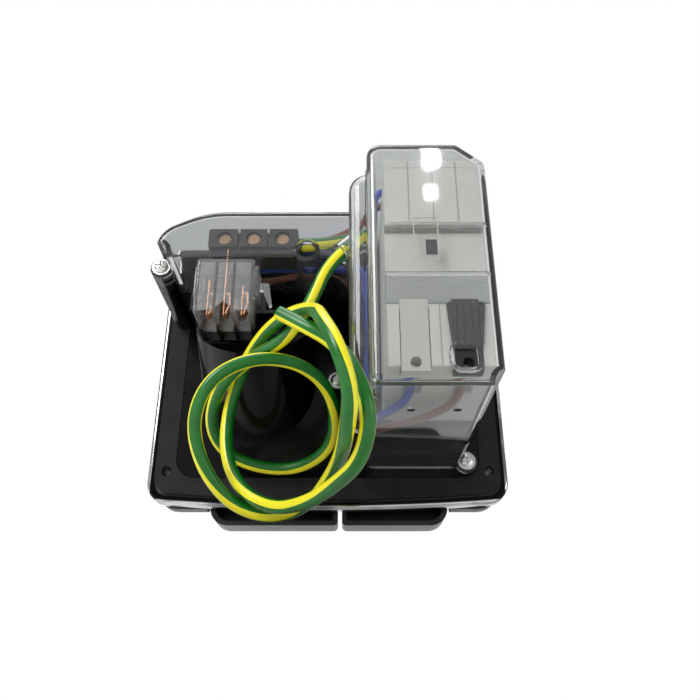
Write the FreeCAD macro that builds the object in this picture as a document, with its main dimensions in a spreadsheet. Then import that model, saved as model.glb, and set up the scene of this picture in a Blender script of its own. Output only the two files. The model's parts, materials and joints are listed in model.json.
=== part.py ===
"""Flush power inlet for a vehicle wall, with a two-module RCBO under a clear rear cover.

Frame: millimetres, +Z up, +X to the right when the inlet is seen from outside the vehicle,
+Y into the vehicle. The origin is the centre of the gasket's rear face, which meets the wall.
"""
import FreeCAD, Part
import math
import os

import Sketcher

os.makedirs("parts", exist_ok=True)

Vec = FreeCAD.Vector
doc = FreeCAD.newDocument("power_inlet")
sheet = doc.addObject("Spreadsheet::Sheet", "Sizes")

# Driving dimensions: alias, millimetres or degrees, meaning
SIZES = [
    # Frame, trim and gasket
    ("trim_wide", 161.4, "overall width over the bright trim"),
    ("trim_high", 132.0, "overall height at the trim's corners"),
    ("edge_rise", 5.5, "rise of the bowed edges' crossing tangents"),
    ("trim_round", 10.0, "corner radius of the trim"),
    ("trim_lip", 3.2, "width of the trim's bright band"),
    ("trim_front", 9.0, "front edge of the trim, ahead of the wall"),
    ("trim_rear", 2.2, "rear edge of the trim, ahead of the wall"),
    ("frame_front", 20.0, "front face of the frame, ahead of the wall"),
    ("frame_inset", 2.5, "frame body inside the trim's outline"),
    ("frame_round", 14.0, "corner radius of the frame body"),
    ("frame_wall", 2.6, "wall of the frame"),
    ("cavity_wide", 149.8, "width of the frame's cavity"),
    ("cavity_high", 115.2, "height of the frame's cavity"),
    ("gasket_thick", 3.0, "foam gasket's thickness"),
    ("gasket_wide", 154.0, "foam gasket's width"),
    ("gasket_high", 124.0, "foam gasket's height at its corners"),
    ("gasket_round", 7.0, "foam gasket's corner radius"),
    ("port_wide", 136.0, "width of the gasket's opening"),
    ("port_high", 111.6, "height of the gasket's opening"),
    ("port_round", 9.0, "corner radius of the gasket's opening"),
    ("screw_pitch_x", 144.0, "wall screws, across"),
    ("screw_pitch_z", 105.2, "wall screws, up"),
    ("screw_hole", 2.15, "radius of a wall screw's hole"),
    ("boss_radius", 4.2, "radius of a wall screw's boss"),
    ("plate_thick", 3.0, "flange plate of the rear housing"),
    ("fit_gap", 0.3, "clearance round what seats in a pocket"),
    ("wall_room", 2.4, "room for a thin wall panel under the housing's end"),
    ("trim_edge", 1.4, "edge radius of the trim"),
    ("frame_edge", 2.4, "front edge radius of the frame"),
    ("cavity_round", 6.0, "corner radius of the frame's cavity"),
    # Doors
    ("door_split", -5.4, "line between the two doors"),
    ("door_gap", 1.0, "half the gap between the two doors"),
    ("door_stand", 2.0, "door's back, ahead of the frame's face"),
    ("door_skin", 2.5, "skin of a door"),
    ("door_rim", 1.4, "stiffening rim behind a door's skin"),
    ("rim_wall", 2.0, "wall of a door's rim and tab"),
    ("inlet_door_end", 68.0, "outer side of the inlet door"),
    ("breaker_door_end", -68.0, "outer side of the breaker door"),
    ("door_top", 54.5, "top of the door skins"),
    ("door_low", -62.5, "bottom of the door skins"),
    ("door_round", 9.0, "outer corner radius of a door"),
    ("inlet_tab_end", 53.0, "outer side of the inlet door's finger tab"),
    ("breaker_tab_end", -54.0, "outer side of the breaker door's finger tab"),
    ("tab_side", 1.5, "gap beside the finger tabs"),
    ("tab_top", -61.0, "roof of the frame's notch for the tabs"),
    ("tab_low", -74.5, "bottom of the finger tabs"),
    ("tab_rear", 11.0, "rear rim of the tabs, ahead of the wall"),
    ("tab_round", 8.0, "outer corner radius of a tab"),
    ("hinge_z", 58.0, "height of the door hinges"),
    ("hinge_stand", 3.0, "hinge axis, ahead of the frame's face"),
    ("barrel_radius", 2.6, "radius of a hinge barrel"),
    ("hinge_pin_radius", 1.0, "radius of a hinge pin"),
    ("hinge_play", 0.05, "running clearance round a hinge pin"),
    ("lug_wide", 4.0, "width of a hinge lug"),
    ("lug_gap", 0.4, "gap beside a hinge lug"),
    ("seal_wide", 3.0, "width of a door seal"),
    ("seal_inset", 3.0, "door seal, in from the door's side"),
    ("seal_thick", 1.7, "thickness of a door seal"),
    # Inlet socket, on an axis that leans up towards the rear
    ("inlet_x", 32.5, "inlet axis, to the right of the centre"),
    ("inlet_z", -8.0, "height of the inlet axis at the wall"),
    ("inlet_lean", 30.0, "lean of the inlet axis, degrees"),
    ("pot_front_radius", 27.5, "pot's outer radius at its mouth"),
    ("pot_rear_radius", 26.0, "pot's outer radius at its closed end"),
    ("pot_end", 33.0, "pot's closed end, along the axis"),
    ("pot_mouth", 36.0, "start of the pot, ahead along the axis"),
    ("pot_wall", 2.2, "wall of the pot"),
    ("throat_radius", 27.0, "radius of the frame's opening for the plug"),
    ("shroud_radius", 21.5, "bore radius of the inlet's shroud"),
    ("shroud_wall", 1.8, "wall of the inlet's shroud"),
    ("shroud_long", 32.0, "length of the inlet's shroud"),
    ("pot_fit", 23.4, "radius of the insert's base disc"),
    ("insert_base", 5.0, "thickness of the inlet's base"),
    ("pin_circle", 11.5, "radius of the pin circle"),
    ("pin_radius", 2.5, "radius of the line and neutral pins"),
    ("earth_pin_radius", 3.0, "radius of the earth pin"),
    ("pin_long", 26.0, "length of a pin ahead of the base"),
    # Rear cover, clear
    ("cover_wall", 2.0, "wall of the clear cover"),
    ("cover_round", 3.0, "outer edge radius of the clear cover"),
    ("box_left", -60.3, "box's far side at its rear face"),
    ("box_foot", -64.0, "box's far side at its foot"),
    ("box_step", -16.5, "step between box and wiring channel"),
    ("channel_side", -9.5, "outer side of the wiring channel"),
    ("box_low", -51.6, "underside of the box"),
    ("box_top", 43.0, "top of the box"),
    ("box_rear", 101.0, "rear face of the box"),
    ("channel_rear", 89.0, "rear face of the wiring channel"),
    ("channel_round", 7.5, "outer radius of the channel's shoulder"),
    ("band_rear", 65.0, "rear face of the terminal compartment"),
    ("band_front", 33.0, "seam between compartment and housing"),
    ("band_end", 70.0, "end of the terminal compartment"),
    ("band_low", 19.6, "underside of the terminal compartment"),
    ("band_top", 41.2, "top of the terminal compartment"),
    ("corner_round", 11.0, "radius where compartment meets channel"),
    ("cover_foot", 0.3, "foot of the box, behind the wall plane"),
    ("seam_y", 48.0, "seam of the channel's side wall"),
    ("notch_radius", 5.2, "screwdriver notch at the box's corner"),
    ("chamfer", 7.6, "cut-off corner at the box's top"),
    # Cover screws
    ("ear_radius", 5.2, "radius of a cover screw's ear"),
    ("screw_head", 3.2, "radius of a cover screw's head"),
    ("screw_shank", 1.5, "radius of a cover screw's shank"),
    ("screw_long", 5.5, "length of a cover screw's shank"),
    ("head_high", 2.4, "height of a cover screw's head"),
    # RCBO, two modules
    ("rcbo_x", -40.4, "middle of the RCBO"),
    ("rcbo_wide", 35.6, "width of two modules"),
    ("rcbo_low", -44.5, "lower end of the RCBO"),
    ("rcbo_high", 81.0, "length of the RCBO"),
    ("rcbo_rear", 97.0, "rear face of the RCBO"),
    ("rcbo_depth", 49.0, "depth of the RCBO's body"),
    ("nose_high", 45.0, "length of the RCBO's nose"),
    ("nose_deep", 16.0, "depth of the RCBO's nose"),
    ("rail_z", -4.0, "middle of the mounting rail form"),
    ("rail_high", 35.0, "height of the mounting rail form"),
    ("well_wall", 1.5, "wall of the breaker well"),
    ("well_left", -58.5, "far inner side of the breaker well"),
    ("well_right", -22.3, "near inner side of the breaker well"),
    ("well_low", -44.8, "inner bottom of the breaker well"),
    ("well_top", 36.8, "inner top of the breaker well"),
    ("well_round", 2.0, "corner radius of the breaker well"),
    ("post_radius", 4.8, "radius of the compartment screw's post"),
    ("post_top", 44.0, "top of the compartment screw's post"),
    ("lug_top", 51.6, "top of the compartment screw's ear"),
    ("end_screw_z", 21.5, "height of the compartment screw"),
    ("mid_screw_x", -4.0, "middle screw, across"),
    ("mid_screw_z", -12.0, "middle screw, up"),
    ("mid_boss", 4.0, "height of the middle screw's boss"),
    ("foot_screw_x", -61.2, "corner screw, across"),
    ("foot_screw_z", -50.0, "corner screw, up"),
    ("foot_boss", 3.0, "height of the corner screw's boss"),
    ("ear_thick", 3.0, "thickness of a low screw ear"),
    ("foot_half", 3.5, "half width of the middle ear's arm"),
    ("end_turn_z", 31.5, "height where the compartment's end starts to lean in"),
    ("end_turn_x", 50.0, "place where the compartment's top starts to fall"),
    ("end_small_round", 12.0, "smaller radius of the compartment's end"),
    ("end_large_round", 58.0, "larger radius of the compartment's end"),
    ("end_foot_round", 4.0, "radius of the compartment's lower end corner"),
    ("tube_x", 7.5, "screw well tube, across"),
    ("tube_z", 21.0, "screw well tube, up"),
    ("tube_radius", 5.3, "outer radius of the screw well tube"),
    ("tube_bore", 3.7, "bore radius of the screw well tube"),
    ("tube_floor", 3.0, "floor of the screw well tube"),
    ("probe_radius", 1.5, "radius of the two holes in the box's underside"),
    ("probe_y", 75.5, "place of the two holes"),
    ("window_x", -47.7, "release window, across"),
    ("window_z", -42.8, "release window, up"),
    ("window_size", 8.0, "width of the release window"),
    ("window_ring", 1.6, "wall of the raised ring round the window"),
    ("window_rise", 1.2, "height of the raised ring"),
    ("window_round", 2.4, "corner radius of the window"),
    ("rail_front", 93.4, "front face of the rail form's lips"),
    ("rail_web", 1.8, "web of the rail form"),
    ("rail_lip", 1.6, "thickness of the rail form's lip"),
    ("rail_reach", 4.2, "width of the rail form's lip"),
    ("exit_x", -8.0, "earth lead's exit ring, across"),
    ("exit_y", 69.0, "earth lead's exit ring, back"),
    ("exit_z", 18.5, "earth lead's exit ring, up"),
    ("exit_ring", 4.6, "outer radius of the exit ring"),
    ("exit_hole", 3.3, "bore radius of the exit ring"),
    ("exit_out", 2.4, "exit ring, ahead of its centre"),
    ("exit_in", 4.6, "exit ring, behind its centre"),
    # RCBO details
    ("pole_pitch", 17.8, "pitch of the two poles"),
    ("strip_wide", 8.9, "width of one housing strip"),
    ("seam", 0.5, "width and depth of a housing seam"),
    ("entry_size", 6.6, "width of a cable entry"),
    ("entry_deep", 5.0, "depth of a cable entry"),
    ("entry_y", 80.0, "place of the cable entries"),
    ("clip_wide", 9.6, "width of a rail clip"),
    ("clip_thick", 6.0, "thickness of a rail clip"),
    ("clip_low", -46.0, "lower end of a rail clip at rest"),
    ("clip_pitch", 8.7, "rail clips, each side of the middle"),
    ("clip_hook", 2.2, "hook of a rail clip"),
    ("rcbo_play", 0.3, "clearance round the RCBO's moving pieces"),
    ("screw_well", 2.8, "radius of a terminal screw's well"),
    ("terminal_screw", 2.3, "radius of a terminal screw"),
    ("terminal_screw_in", 8.0, "terminal screw, in from the end"),
    ("lever_wide", 13.0, "width of the lever"),
    ("lever_drum", 5.4, "radius of the lever's drum"),
    ("lever_long", 13.0, "lever's tip, from its axis"),
    ("lever_thick", 4.0, "thickness of the lever's grip"),
    ("lever_set_back", 3.5, "lever's axis, behind the nose's face"),
    ("lever_rest", 30.0, "lean of the lever when on, degrees"),
    ("lever_room", 9.0, "half height of the lever's window"),
    ("axle_radius", 1.5, "radius of the lever's stub axles"),
    ("axle_long", 2.5, "depth of the holes for the stub axles"),
    ("lever_off_x", 3.0, "lever, off the middle"),
    ("button_size", 6.0, "width of the test button"),
    ("button_proud", 1.8, "test button, ahead of the nose's face"),
    ("button_long", 7.0, "length of the test button"),
    ("button_travel", 1.5, "travel of the test button"),
    ("button_x", -52.6, "test button, across"),
    ("button_up", 10.0, "test button, above the nose's middle"),
    # Output connector
    ("conn_x", 40.7, "middle of the output connector"),
    ("conn_pitch", 7.0, "pitch of its contacts"),
    ("conn_wide", 23.6, "width of the output connector"),
    ("conn_low", -7.0, "mouth of the output connector"),
    ("conn_seam", 50.0, "seam between its two halves"),
    ("conn_rear", 62.0, "rear face of the output connector"),
    ("conn_front", 38.0, "front face of the output connector"),
    ("conn_wall", 1.4, "wall of the output connector"),
    ("cell_wall", 1.2, "wall between two cells"),
    ("cell_deep", 19.0, "depth of a cell"),
    ("tooth_high", 4.6, "depth of the lead-in notches"),
    ("wing_wide", 4.0, "width of a side wing"),
    ("wing_high", 9.0, "height of a side wing"),
    ("latch_long", 10.0, "length of the latch hook"),
    ("latch_thick", 1.6, "thickness of the latch hook"),
    ("latch_off", 8.2, "latch hook, beside the connector"),
    ("contact_front", 45.0, "front face of a contact strip"),
    ("contact_thick", 0.8, "thickness of a contact strip"),
    ("contact_wide", 4.2, "width of a contact strip"),
    ("contact_top", 26.0, "top of a contact strip"),
    ("contact_low", -3.5, "tip of a contact strip"),
    # Terminal block
    ("block_left", 12.0, "terminal block, inner side"),
    ("block_right", 50.0, "terminal block, outer side"),
    ("block_front", 40.0, "terminal block, front face"),
    ("block_rear", 56.0, "terminal block, rear face"),
    ("block_low", 28.6, "terminal block, underside"),
    ("block_top", 37.4, "terminal block, top"),
    ("block_pitch", 12.4, "pitch of the terminals"),
    ("block_bore", 3.2, "radius of a terminal's screw well"),
    ("block_screw", 2.6, "radius of a terminal's screw"),
    ("block_foot", 3.4, "height of the terminal block's feet"),
    # Wiring
    ("wire_radius", 1.5, "radius of an inner wire"),
    ("lead_radius", 2.6, "radius of the earth lead"),
]


def fill_sheet():
    """One row for each driving dimension, with its alias."""
    for row, (alias, number, meaning) in enumerate(SIZES, start=1):
        sheet.set(f"A{row}", meaning)
        sheet.set(f"B{row}", str(number))
        sheet.setAlias(f"B{row}", alias)
    doc.recompute()


fill_sheet()
ALIASES = sorted((alias for alias, number, meaning in SIZES), key=len, reverse=True)


def num(text):
    """The number that an expression on the sheet's aliases gives."""
    return float(sheet.evalExpression(str(text)))


def tie(text):
    """The same expression, as other objects write it."""
    words = []
    word = ""
    for letter in str(text) + " ":
        if letter.isalnum() or letter in "_.":
            word += letter
            continue
        words.append(f"Sizes.{word}" if word in ALIASES else word)
        words.append(letter)
        word = ""
    return "".join(words)


NORMALS = {"XY": 1, "XZ": -1, "YZ": 1}
AXIS_X = Vec(1, 0, 0)
AXIS_Y = Vec(0, 1, 0)
AXIS_Z = Vec(0, 0, 1)


def new_body(label):
    """An empty body that will carry one sub-part or a stage of it."""
    body = doc.addObject("PartDesign::Body", label)
    body.Label = label
    return body


def new_sketch(body, plane, at="0"):
    """A sketch on one of the body's origin planes, moved along that plane's axis."""
    sketch = body.newObject("Sketcher::SketchObject", f"{body.Name}_sketch")
    support = next(one for one in body.Origin.OriginFeatures if one.Role == f"{plane}_Plane")
    sketch.AttachmentSupport = (support, [""])
    sketch.MapMode = "FlatFace"
    sketch.setExpression("AttachmentOffset.Base.z", tie(f"{NORMALS[plane]} * ({at})"))
    return sketch


def place(sketch, item, spot, across, up):
    """Fix a point of a sketch by two distances from the origin."""
    for kind, text in (("DistanceX", across), ("DistanceY", up)):
        row = sketch.addConstraint(Sketcher.Constraint(kind, item, spot, num(text)))
        sketch.setExpression(f"Constraints[{row}]", tie(text))


def outline(sketch, corners):
    """A closed outline of straight sides, with a tangent arc at each corner that has a radius."""
    count = len(corners)
    spots = [Vec(num(corner[0]), num(corner[1]), 0) for corner in corners]
    sides = []
    for i in range(count):
        into = (spots[i - 1] - spots[i]).normalize()
        away = (spots[(i + 1) % count] - spots[i]).normalize()
        if len(corners[i]) < 3:
            sides.append((spots[i], spots[i], None))
            continue
        radius = num(corners[i][2])
        half = into.getAngle(away) / 2
        reach = radius / math.tan(half)
        centre = spots[i] + (into + away).normalize() * (radius / math.sin(half))
        sides.append((spots[i] + into * reach, spots[i] + away * reach, centre))
    first = sketch.GeometryCount
    for i in range(count):
        sketch.addGeometry(Part.LineSegment(sides[i][1], sides[(i + 1) % count][0]), False)
    for i in range(count):
        before = first + (i - 1) % count
        after = first + i
        if len(corners[i]) < 3:
            sketch.addConstraint(Sketcher.Constraint("Coincident", before, 2, after, 1))
            place(sketch, after, 1, corners[i][0], corners[i][1])
            continue
        start, end, centre = sides[i]
        left_turn = (spots[i] - spots[i - 1]).cross(spots[(i + 1) % count] - spots[i]).z > 0
        if not left_turn:
            start, end = end, start
        angles = [math.atan2(spot.y - centre.y, spot.x - centre.x) for spot in (start, end)]
        circle_line = Part.Circle(centre, AXIS_Z, num(corners[i][2]))
        arc = sketch.addGeometry(Part.ArcOfCircle(circle_line, angles[0], angles[1]), False)
        near = 1 if left_turn else 2
        sketch.addConstraint(Sketcher.Constraint("Tangent", before, 2, arc, near))
        sketch.addConstraint(Sketcher.Constraint("Tangent", after, 1, arc, 3 - near))
        row = sketch.addConstraint(Sketcher.Constraint("Radius", arc, num(corners[i][2])))
        sketch.setExpression(f"Constraints[{row}]", tie(corners[i][2]))
        point = sketch.addGeometry(Part.Point(spots[i]), True)
        place(sketch, point, 1, corners[i][0], corners[i][1])
        sketch.addConstraint(Sketcher.Constraint("PointOnObject", point, 1, before))
        sketch.addConstraint(Sketcher.Constraint("PointOnObject", point, 1, after))


def circle(sketch, across, up, radius):
    """A circle placed by its centre."""
    spot = Vec(num(across), num(up), 0)
    item = sketch.addGeometry(Part.Circle(spot, AXIS_Z, num(radius)), False)
    place(sketch, item, 3, across, up)
    row = sketch.addConstraint(Sketcher.Constraint("Radius", item, num(radius)))
    sketch.setExpression(f"Constraints[{row}]", tie(radius))


def box_corners(x0, x1, y0, y1, radius=None):
    """Corners of a rectangle, rounded where a radius is given."""
    corners = [(x0, y0), (x1, y0), (x1, y1), (x0, y1)]
    return corners if radius is None else [corner + (radius,) for corner in corners]


def extrude(body, kind, sketch, length, toward):
    """A pad or pocket along the sketch plane's axis, towards its plus or minus end."""
    before = body.Shape.Volume if body.Shape.Solids else 0.0
    feature = body.newObject(f"PartDesign::{kind}", f"{body.Name}_{kind.lower()}")
    feature.Profile = sketch
    feature.setExpression("Length", tie(length))
    normal = NORMALS[sketch.AttachmentSupport[0][0].Role[:2]]
    forward = normal if kind == "Pad" else -normal
    feature.Reversed = forward != toward
    doc.recompute()
    grown = body.Shape.Volume - before
    if grown * (1 if kind == "Pad" else -1) <= 0:
        raise RuntimeError(f"{feature.Name} in {body.Label} changed the volume by {grown:.2f}")
    return feature


def pad_box(body, plane, at, length, toward, x0, x1, y0, y1, radius=None):
    """A pad on a rectangle."""
    sketch = new_sketch(body, plane, at)
    outline(sketch, box_corners(x0, x1, y0, y1, radius))
    return extrude(body, "Pad", sketch, length, toward)


def cut_box(body, plane, at, length, toward, x0, x1, y0, y1, radius=None):
    """A pocket on a rectangle."""
    sketch = new_sketch(body, plane, at)
    outline(sketch, box_corners(x0, x1, y0, y1, radius))
    return extrude(body, "Pocket", sketch, length, toward)


def rounds(body, kind, size, wanted):
    """A fillet or chamfer on the edges of the body's tip that wanted() accepts."""
    base = body.Tip
    edges = [f"Edge{i}" for i, edge in enumerate(base.Shape.Edges, 1) if wanted(edge)]
    feature = body.newObject(f"PartDesign::{kind}", f"{body.Name}_{kind.lower()}")
    feature.Base = (base, edges)
    feature.setExpression("Radius" if kind == "Fillet" else "Size", tie(size))
    doc.recompute()
    return feature


def along(edge, axis):
    """Whether an edge is straight and parallel to an axis."""
    if not isinstance(edge.Curve, Part.Line):
        return False
    return abs(edge.tangentAt(edge.FirstParameter).dot(axis)) > 0.9999


def middle(edge):
    """The point half way along an edge."""
    return edge.valueAt((edge.FirstParameter + edge.LastParameter) / 2)


def in_plane_y(edge, level):
    """Whether an edge lies in the plane at a height along Y."""
    return abs(edge.BoundBox.YMin - level) < 1e-4 and abs(edge.BoundBox.YMax - level) < 1e-4


def revolved(label, corners):
    """A turned piece about its own Z axis, from half of its section."""
    body = new_body(label)
    sketch = new_sketch(body, "XZ")
    outline(sketch, corners)
    feature = body.newObject("PartDesign::Revolution", f"{body.Name}_turned")
    feature.Profile = sketch
    feature.ReferenceAxis = (sketch, ["V_Axis"])
    feature.Angle = 360
    doc.recompute()
    return body


def joined(kind, label, shapes):
    """A boolean of whole shapes: Part::MultiFuse, Part::Compound or a chain of cuts."""
    if kind == "Cut":
        result = shapes[0]
        for tool in shapes[1:]:
            step = doc.addObject("Part::Cut", label)
            step.Base = result
            step.Tool = tool
            result = step
    elif kind == "Compound":
        result = doc.addObject("Part::Compound", label)
        result.Links = shapes
    else:
        result = doc.addObject(f"Part::{kind}", label)
        result.Shapes = shapes
    result.Label = label
    doc.recompute()
    return result


def cylinder(label, radius, long, x, y, z, direction):
    """A Part cylinder from a base point along a direction."""
    item = doc.addObject("Part::Cylinder", label)
    item.Label = label
    item.setExpression("Radius", tie(radius))
    item.setExpression("Height", tie(long))
    item.Placement.Rotation = FreeCAD.Rotation(AXIS_Z, direction)
    for name, text in (("x", x), ("y", y), ("z", z)):
        item.setExpression(f"Placement.Base.{name}", tie(text))
    doc.recompute()
    return item


def block(label, x0, x1, y0, y1, z0, z1):
    """A Part box between two limits on each axis."""
    item = doc.addObject("Part::Box", label)
    item.Label = label
    for name, low, high in (("Length", x0, x1), ("Width", y0, y1), ("Height", z0, z1)):
        item.setExpression(name, tie(f"{high} - ({low})"))
    for name, low in (("x", x0), ("y", y0), ("z", z0)):
        item.setExpression(f"Placement.Base.{name}", tie(low))
    doc.recompute()
    return item


NODES = []


def keep(item, label):
    """Name a finished sub-part and list it for export."""
    item.Label = label
    NODES.append((label, item))
    return item


def framed(wide, high, corner, inset="0"):
    """Corners of the frame's outline: straight sides, with bowed top and bottom edges."""
    half_wide = f"({wide} / 2 - ({inset}))"
    half_high = f"({high} / 2 - ({inset}))"
    bow = f"(0.9 * ({half_wide} - ({corner})) * {half_wide} / edge_rise)"
    peak = f"({half_high} + edge_rise)"
    return [
        (f"-{half_wide}", f"-{half_high}", corner),
        ("0", f"-{peak}", bow),
        (half_wide, f"-{half_high}", corner),
        (half_wide, half_high, corner),
        ("0", peak, bow),
        (f"-{half_wide}", half_high, corner),
    ]


def screw_places():
    """The four wall screws."""
    return [(f"{i} * screw_pitch_x / 2", f"{k} * screw_pitch_z / 2") for i in (-1, 1) for k in (-1, 1)]


def make_trim_ring():
    """Bright trim round the edge of the frame."""
    body = new_body("trim_ring")
    sketch = new_sketch(body, "XZ", "-trim_rear")
    outline(sketch, framed("trim_wide", "trim_high", "trim_round"))
    extrude(body, "Pad", sketch, "trim_front - trim_rear", -1)
    levels = (-num("trim_rear"), -num("trim_front"))
    rounds(body, "Fillet", "trim_edge", lambda edge: any(in_plane_y(edge, one) for one in levels))
    sketch = new_sketch(body, "XZ", "-trim_rear")
    outline(sketch, framed("trim_wide", "trim_high", "trim_round - trim_lip", "trim_lip"))
    extrude(body, "Pocket", sketch, "trim_front - trim_rear", -1)
    keep(body, "trim_ring")


def make_panel_gasket():
    """Foam gasket between the frame and the vehicle's wall."""
    body = new_body("panel_gasket")
    sketch = new_sketch(body, "XZ")
    outline(sketch, framed("gasket_wide", "gasket_high", "gasket_round"))
    outline(sketch, box_corners("-port_wide / 2", "port_wide / 2", "-port_high / 2", "port_high / 2",
                                "port_round"))
    for x, z in screw_places():
        circle(sketch, x, z, "screw_hole")
    extrude(body, "Pad", sketch, "gasket_thick", -1)
    keep(body, "panel_gasket")


def inlet_direction():
    """Unit vector of the inlet axis, towards its closed end."""
    lean = math.radians(num("inlet_lean"))
    return Vec(0, math.cos(lean), math.sin(lean))


def on_inlet(distance, side=0.0, up=0.0):
    """A point by its distance along the inlet axis, and beside and above it."""
    ahead = inlet_direction()
    upward = Vec(0, -ahead.z, ahead.y)
    start = Vec(num("inlet_x"), 0, num("inlet_z"))
    return start + ahead * distance + AXIS_X * side + upward * up


def set_on_inlet(item, distance, side=0.0, up=0.0):
    """Stand a piece that is built along its own Z axis on the inlet axis."""
    turn = FreeCAD.Rotation(AXIS_Z, inlet_direction())
    for row in list(item.ExpressionEngine):
        if "Placement." in row[0]:
            item.setExpression(row[0], None)
    item.Placement = FreeCAD.Placement(on_inlet(distance, side, up), turn)
    doc.recompute()
    return item


def make_front_frame():
    """Moulded frame: shell, screw bosses, hinge lugs, plug opening and breaker window."""
    body = new_body("frame_shell")
    sketch = new_sketch(body, "XZ", "-frame_front")
    outline(sketch, framed("trim_wide", "trim_high", "frame_round", "frame_inset"))
    extrude(body, "Pad", sketch, "frame_front - trim_front", 1)
    front = -num("frame_front")
    rounds(body, "Fillet", "frame_edge", lambda edge: in_plane_y(edge, front))
    sketch = new_sketch(body, "XZ", "-gasket_thick")
    outline(sketch, framed("trim_wide", "trim_high", "trim_round - trim_lip", "trim_lip"))
    extrude(body, "Pad", sketch, "trim_front - gasket_thick", -1)
    cut_box(body, "XZ", "-gasket_thick", "frame_front - frame_wall - gasket_thick", -1,
            "-cavity_wide / 2", "cavity_wide / 2", "-cavity_high / 2", "cavity_high / 2", "cavity_round")
    cut_box(body, "XZ", "-frame_front", "frame_front - trim_front", 1,
            "breaker_tab_end - tab_side", "inlet_tab_end + tab_side", "-trim_high", "tab_top")
    for x, z in screw_places():
        sketch = new_sketch(body, "XZ", "-(frame_front - frame_wall)")
        circle(sketch, x, z, "boss_radius")
        extrude(body, "Pad", sketch, "frame_front - frame_wall - gasket_thick - plate_thick - fit_gap", 1)
    for x, z in screw_places():
        sketch = new_sketch(body, "XZ", "-frame_front")
        circle(sketch, x, z, "screw_hole")
        extrude(body, "Pocket", sketch, "frame_front - gasket_thick", 1)
    cut_box(body, "XZ", "-frame_front", "frame_wall", 1, "well_left", "well_right",
            "well_low", "well_top", "well_round")
    for start, end in (("inlet_door_end", "door_split + door_gap"), ("breaker_door_end", "door_split - door_gap")):
        add_hinge_lugs(body, start, end)
    sketch = new_sketch(body, "YZ", "-trim_wide / 2")
    circle(sketch, "-(frame_front + hinge_stand)", "hinge_z", "hinge_pin_radius")
    extrude(body, "Pocket", sketch, "trim_wide", 1)
    throat = cylinder("frame_throat", "throat_radius", "pot_mouth + pot_end", "0", "0", "0", AXIS_Z)
    set_on_inlet(throat, -num("pot_mouth"))
    keep(joined("Cut", "front_frame", [body, throat]), "front_frame")


def door_sides(start, end):
    """Low and high side of a door, as expressions, whichever way it is given."""
    return (start, end) if num(start) < num(end) else (end, start)


def add_hinge_lugs(body, start, end):
    """A pair of lugs that hold one door's hinge pin."""
    low, high = door_sides(start, end)
    for left in (f"{low} + lug_gap", f"{high} - lug_gap - lug_wide"):
        sketch = new_sketch(body, "YZ", left)
        tip = "-(frame_front + hinge_stand + barrel_radius)"
        outline(sketch, [(tip, "hinge_z - barrel_radius", "0.9 * barrel_radius"),
                         ("-frame_front", "hinge_z - barrel_radius"),
                         ("-frame_front", "hinge_z + barrel_radius"),
                         (tip, "hinge_z + barrel_radius", "0.9 * barrel_radius")])
        extrude(body, "Pad", sketch, "lug_wide", 1)


def make_door(label, outer, inner, tab_outer):
    """A door: skin, stiffening rim, hinge barrel and the hollow finger tab below."""
    body = new_body(label)
    low, high = door_sides(outer, inner)
    tab_low, tab_high = door_sides(tab_outer, inner)
    back = "-(frame_front + door_stand)"
    rounded = "door_round"
    square = "rim_wall + 0.5 * door_skin"
    lefts = rounded if low == outer else square
    rights = rounded if high == outer else square
    sketch = new_sketch(body, "XZ", back)
    outline(sketch, [(low, "door_low", lefts), (high, "door_low", rights),
                     (high, "door_top", rights), (low, "door_top", lefts)])
    extrude(body, "Pad", sketch, "door_skin", -1)
    sketch = new_sketch(body, "XZ", back)
    outline(sketch, [(low, "door_low", lefts), (high, "door_low", rights),
                     (high, "door_top", rights), (low, "door_top", lefts)])
    outline(sketch, [(f"{low} + rim_wall", "door_low + rim_wall", f"{lefts} - rim_wall"),
                     (f"{high} - rim_wall", "door_low + rim_wall", f"{rights} - rim_wall"),
                     (f"{high} - rim_wall", "door_top - rim_wall", f"{rights} - rim_wall"),
                     (f"{low} + rim_wall", "door_top - rim_wall", f"{lefts} - rim_wall")])
    extrude(body, "Pad", sketch, "door_rim", 1)
    add_tab(body, tab_low, tab_high, tab_low == tab_outer)
    barrel_low = f"{low} + 2 * lug_gap + lug_wide"
    barrel_high = f"{high} - 2 * lug_gap - lug_wide"
    pad_box(body, "XZ", back, "door_skin", -1, barrel_low, barrel_high,
            "door_top - rim_wall", "hinge_z")
    sketch = new_sketch(body, "YZ", barrel_low)
    circle(sketch, "-(frame_front + hinge_stand)", "hinge_z", "barrel_radius")
    extrude(body, "Pad", sketch, f"{barrel_high} - ({barrel_low})", 1)
    sketch = new_sketch(body, "YZ", low)
    circle(sketch, "-(frame_front + hinge_stand)", "hinge_z", "hinge_pin_radius + hinge_play")
    extrude(body, "Pocket", sketch, f"{high} - ({low})", 1)
    keep(body, label)


def add_tab(body, low, high, left_is_outer):
    """The hollow finger tab, open to the rear, under a door."""
    depth = "frame_front + door_stand + door_skin - tab_rear"
    round_left = "tab_round" if left_is_outer else "rim_wall"
    round_right = "rim_wall" if left_is_outer else "tab_round"
    sketch = new_sketch(body, "XZ", "-(frame_front + door_stand + door_skin)")
    outline(sketch, [(low, "tab_low", round_left), (high, "tab_low", round_right),
                     (high, "tab_top - fit_gap"), (low, "tab_top - fit_gap")])
    extrude(body, "Pad", sketch, depth, 1)
    sketch = new_sketch(body, "XZ", "-tab_rear")
    inside = "0.5 * rim_wall"
    outline(sketch, [(f"{low} + rim_wall", "tab_low + rim_wall", f"{round_left} - {inside}"),
                     (f"{high} - rim_wall", "tab_low + rim_wall", f"{round_right} - {inside}"),
                     (f"{high} - rim_wall", "tab_top"), (f"{low} + rim_wall", "tab_top")])
    extrude(body, "Pocket", sketch, f"{depth} - door_skin", -1)


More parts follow.
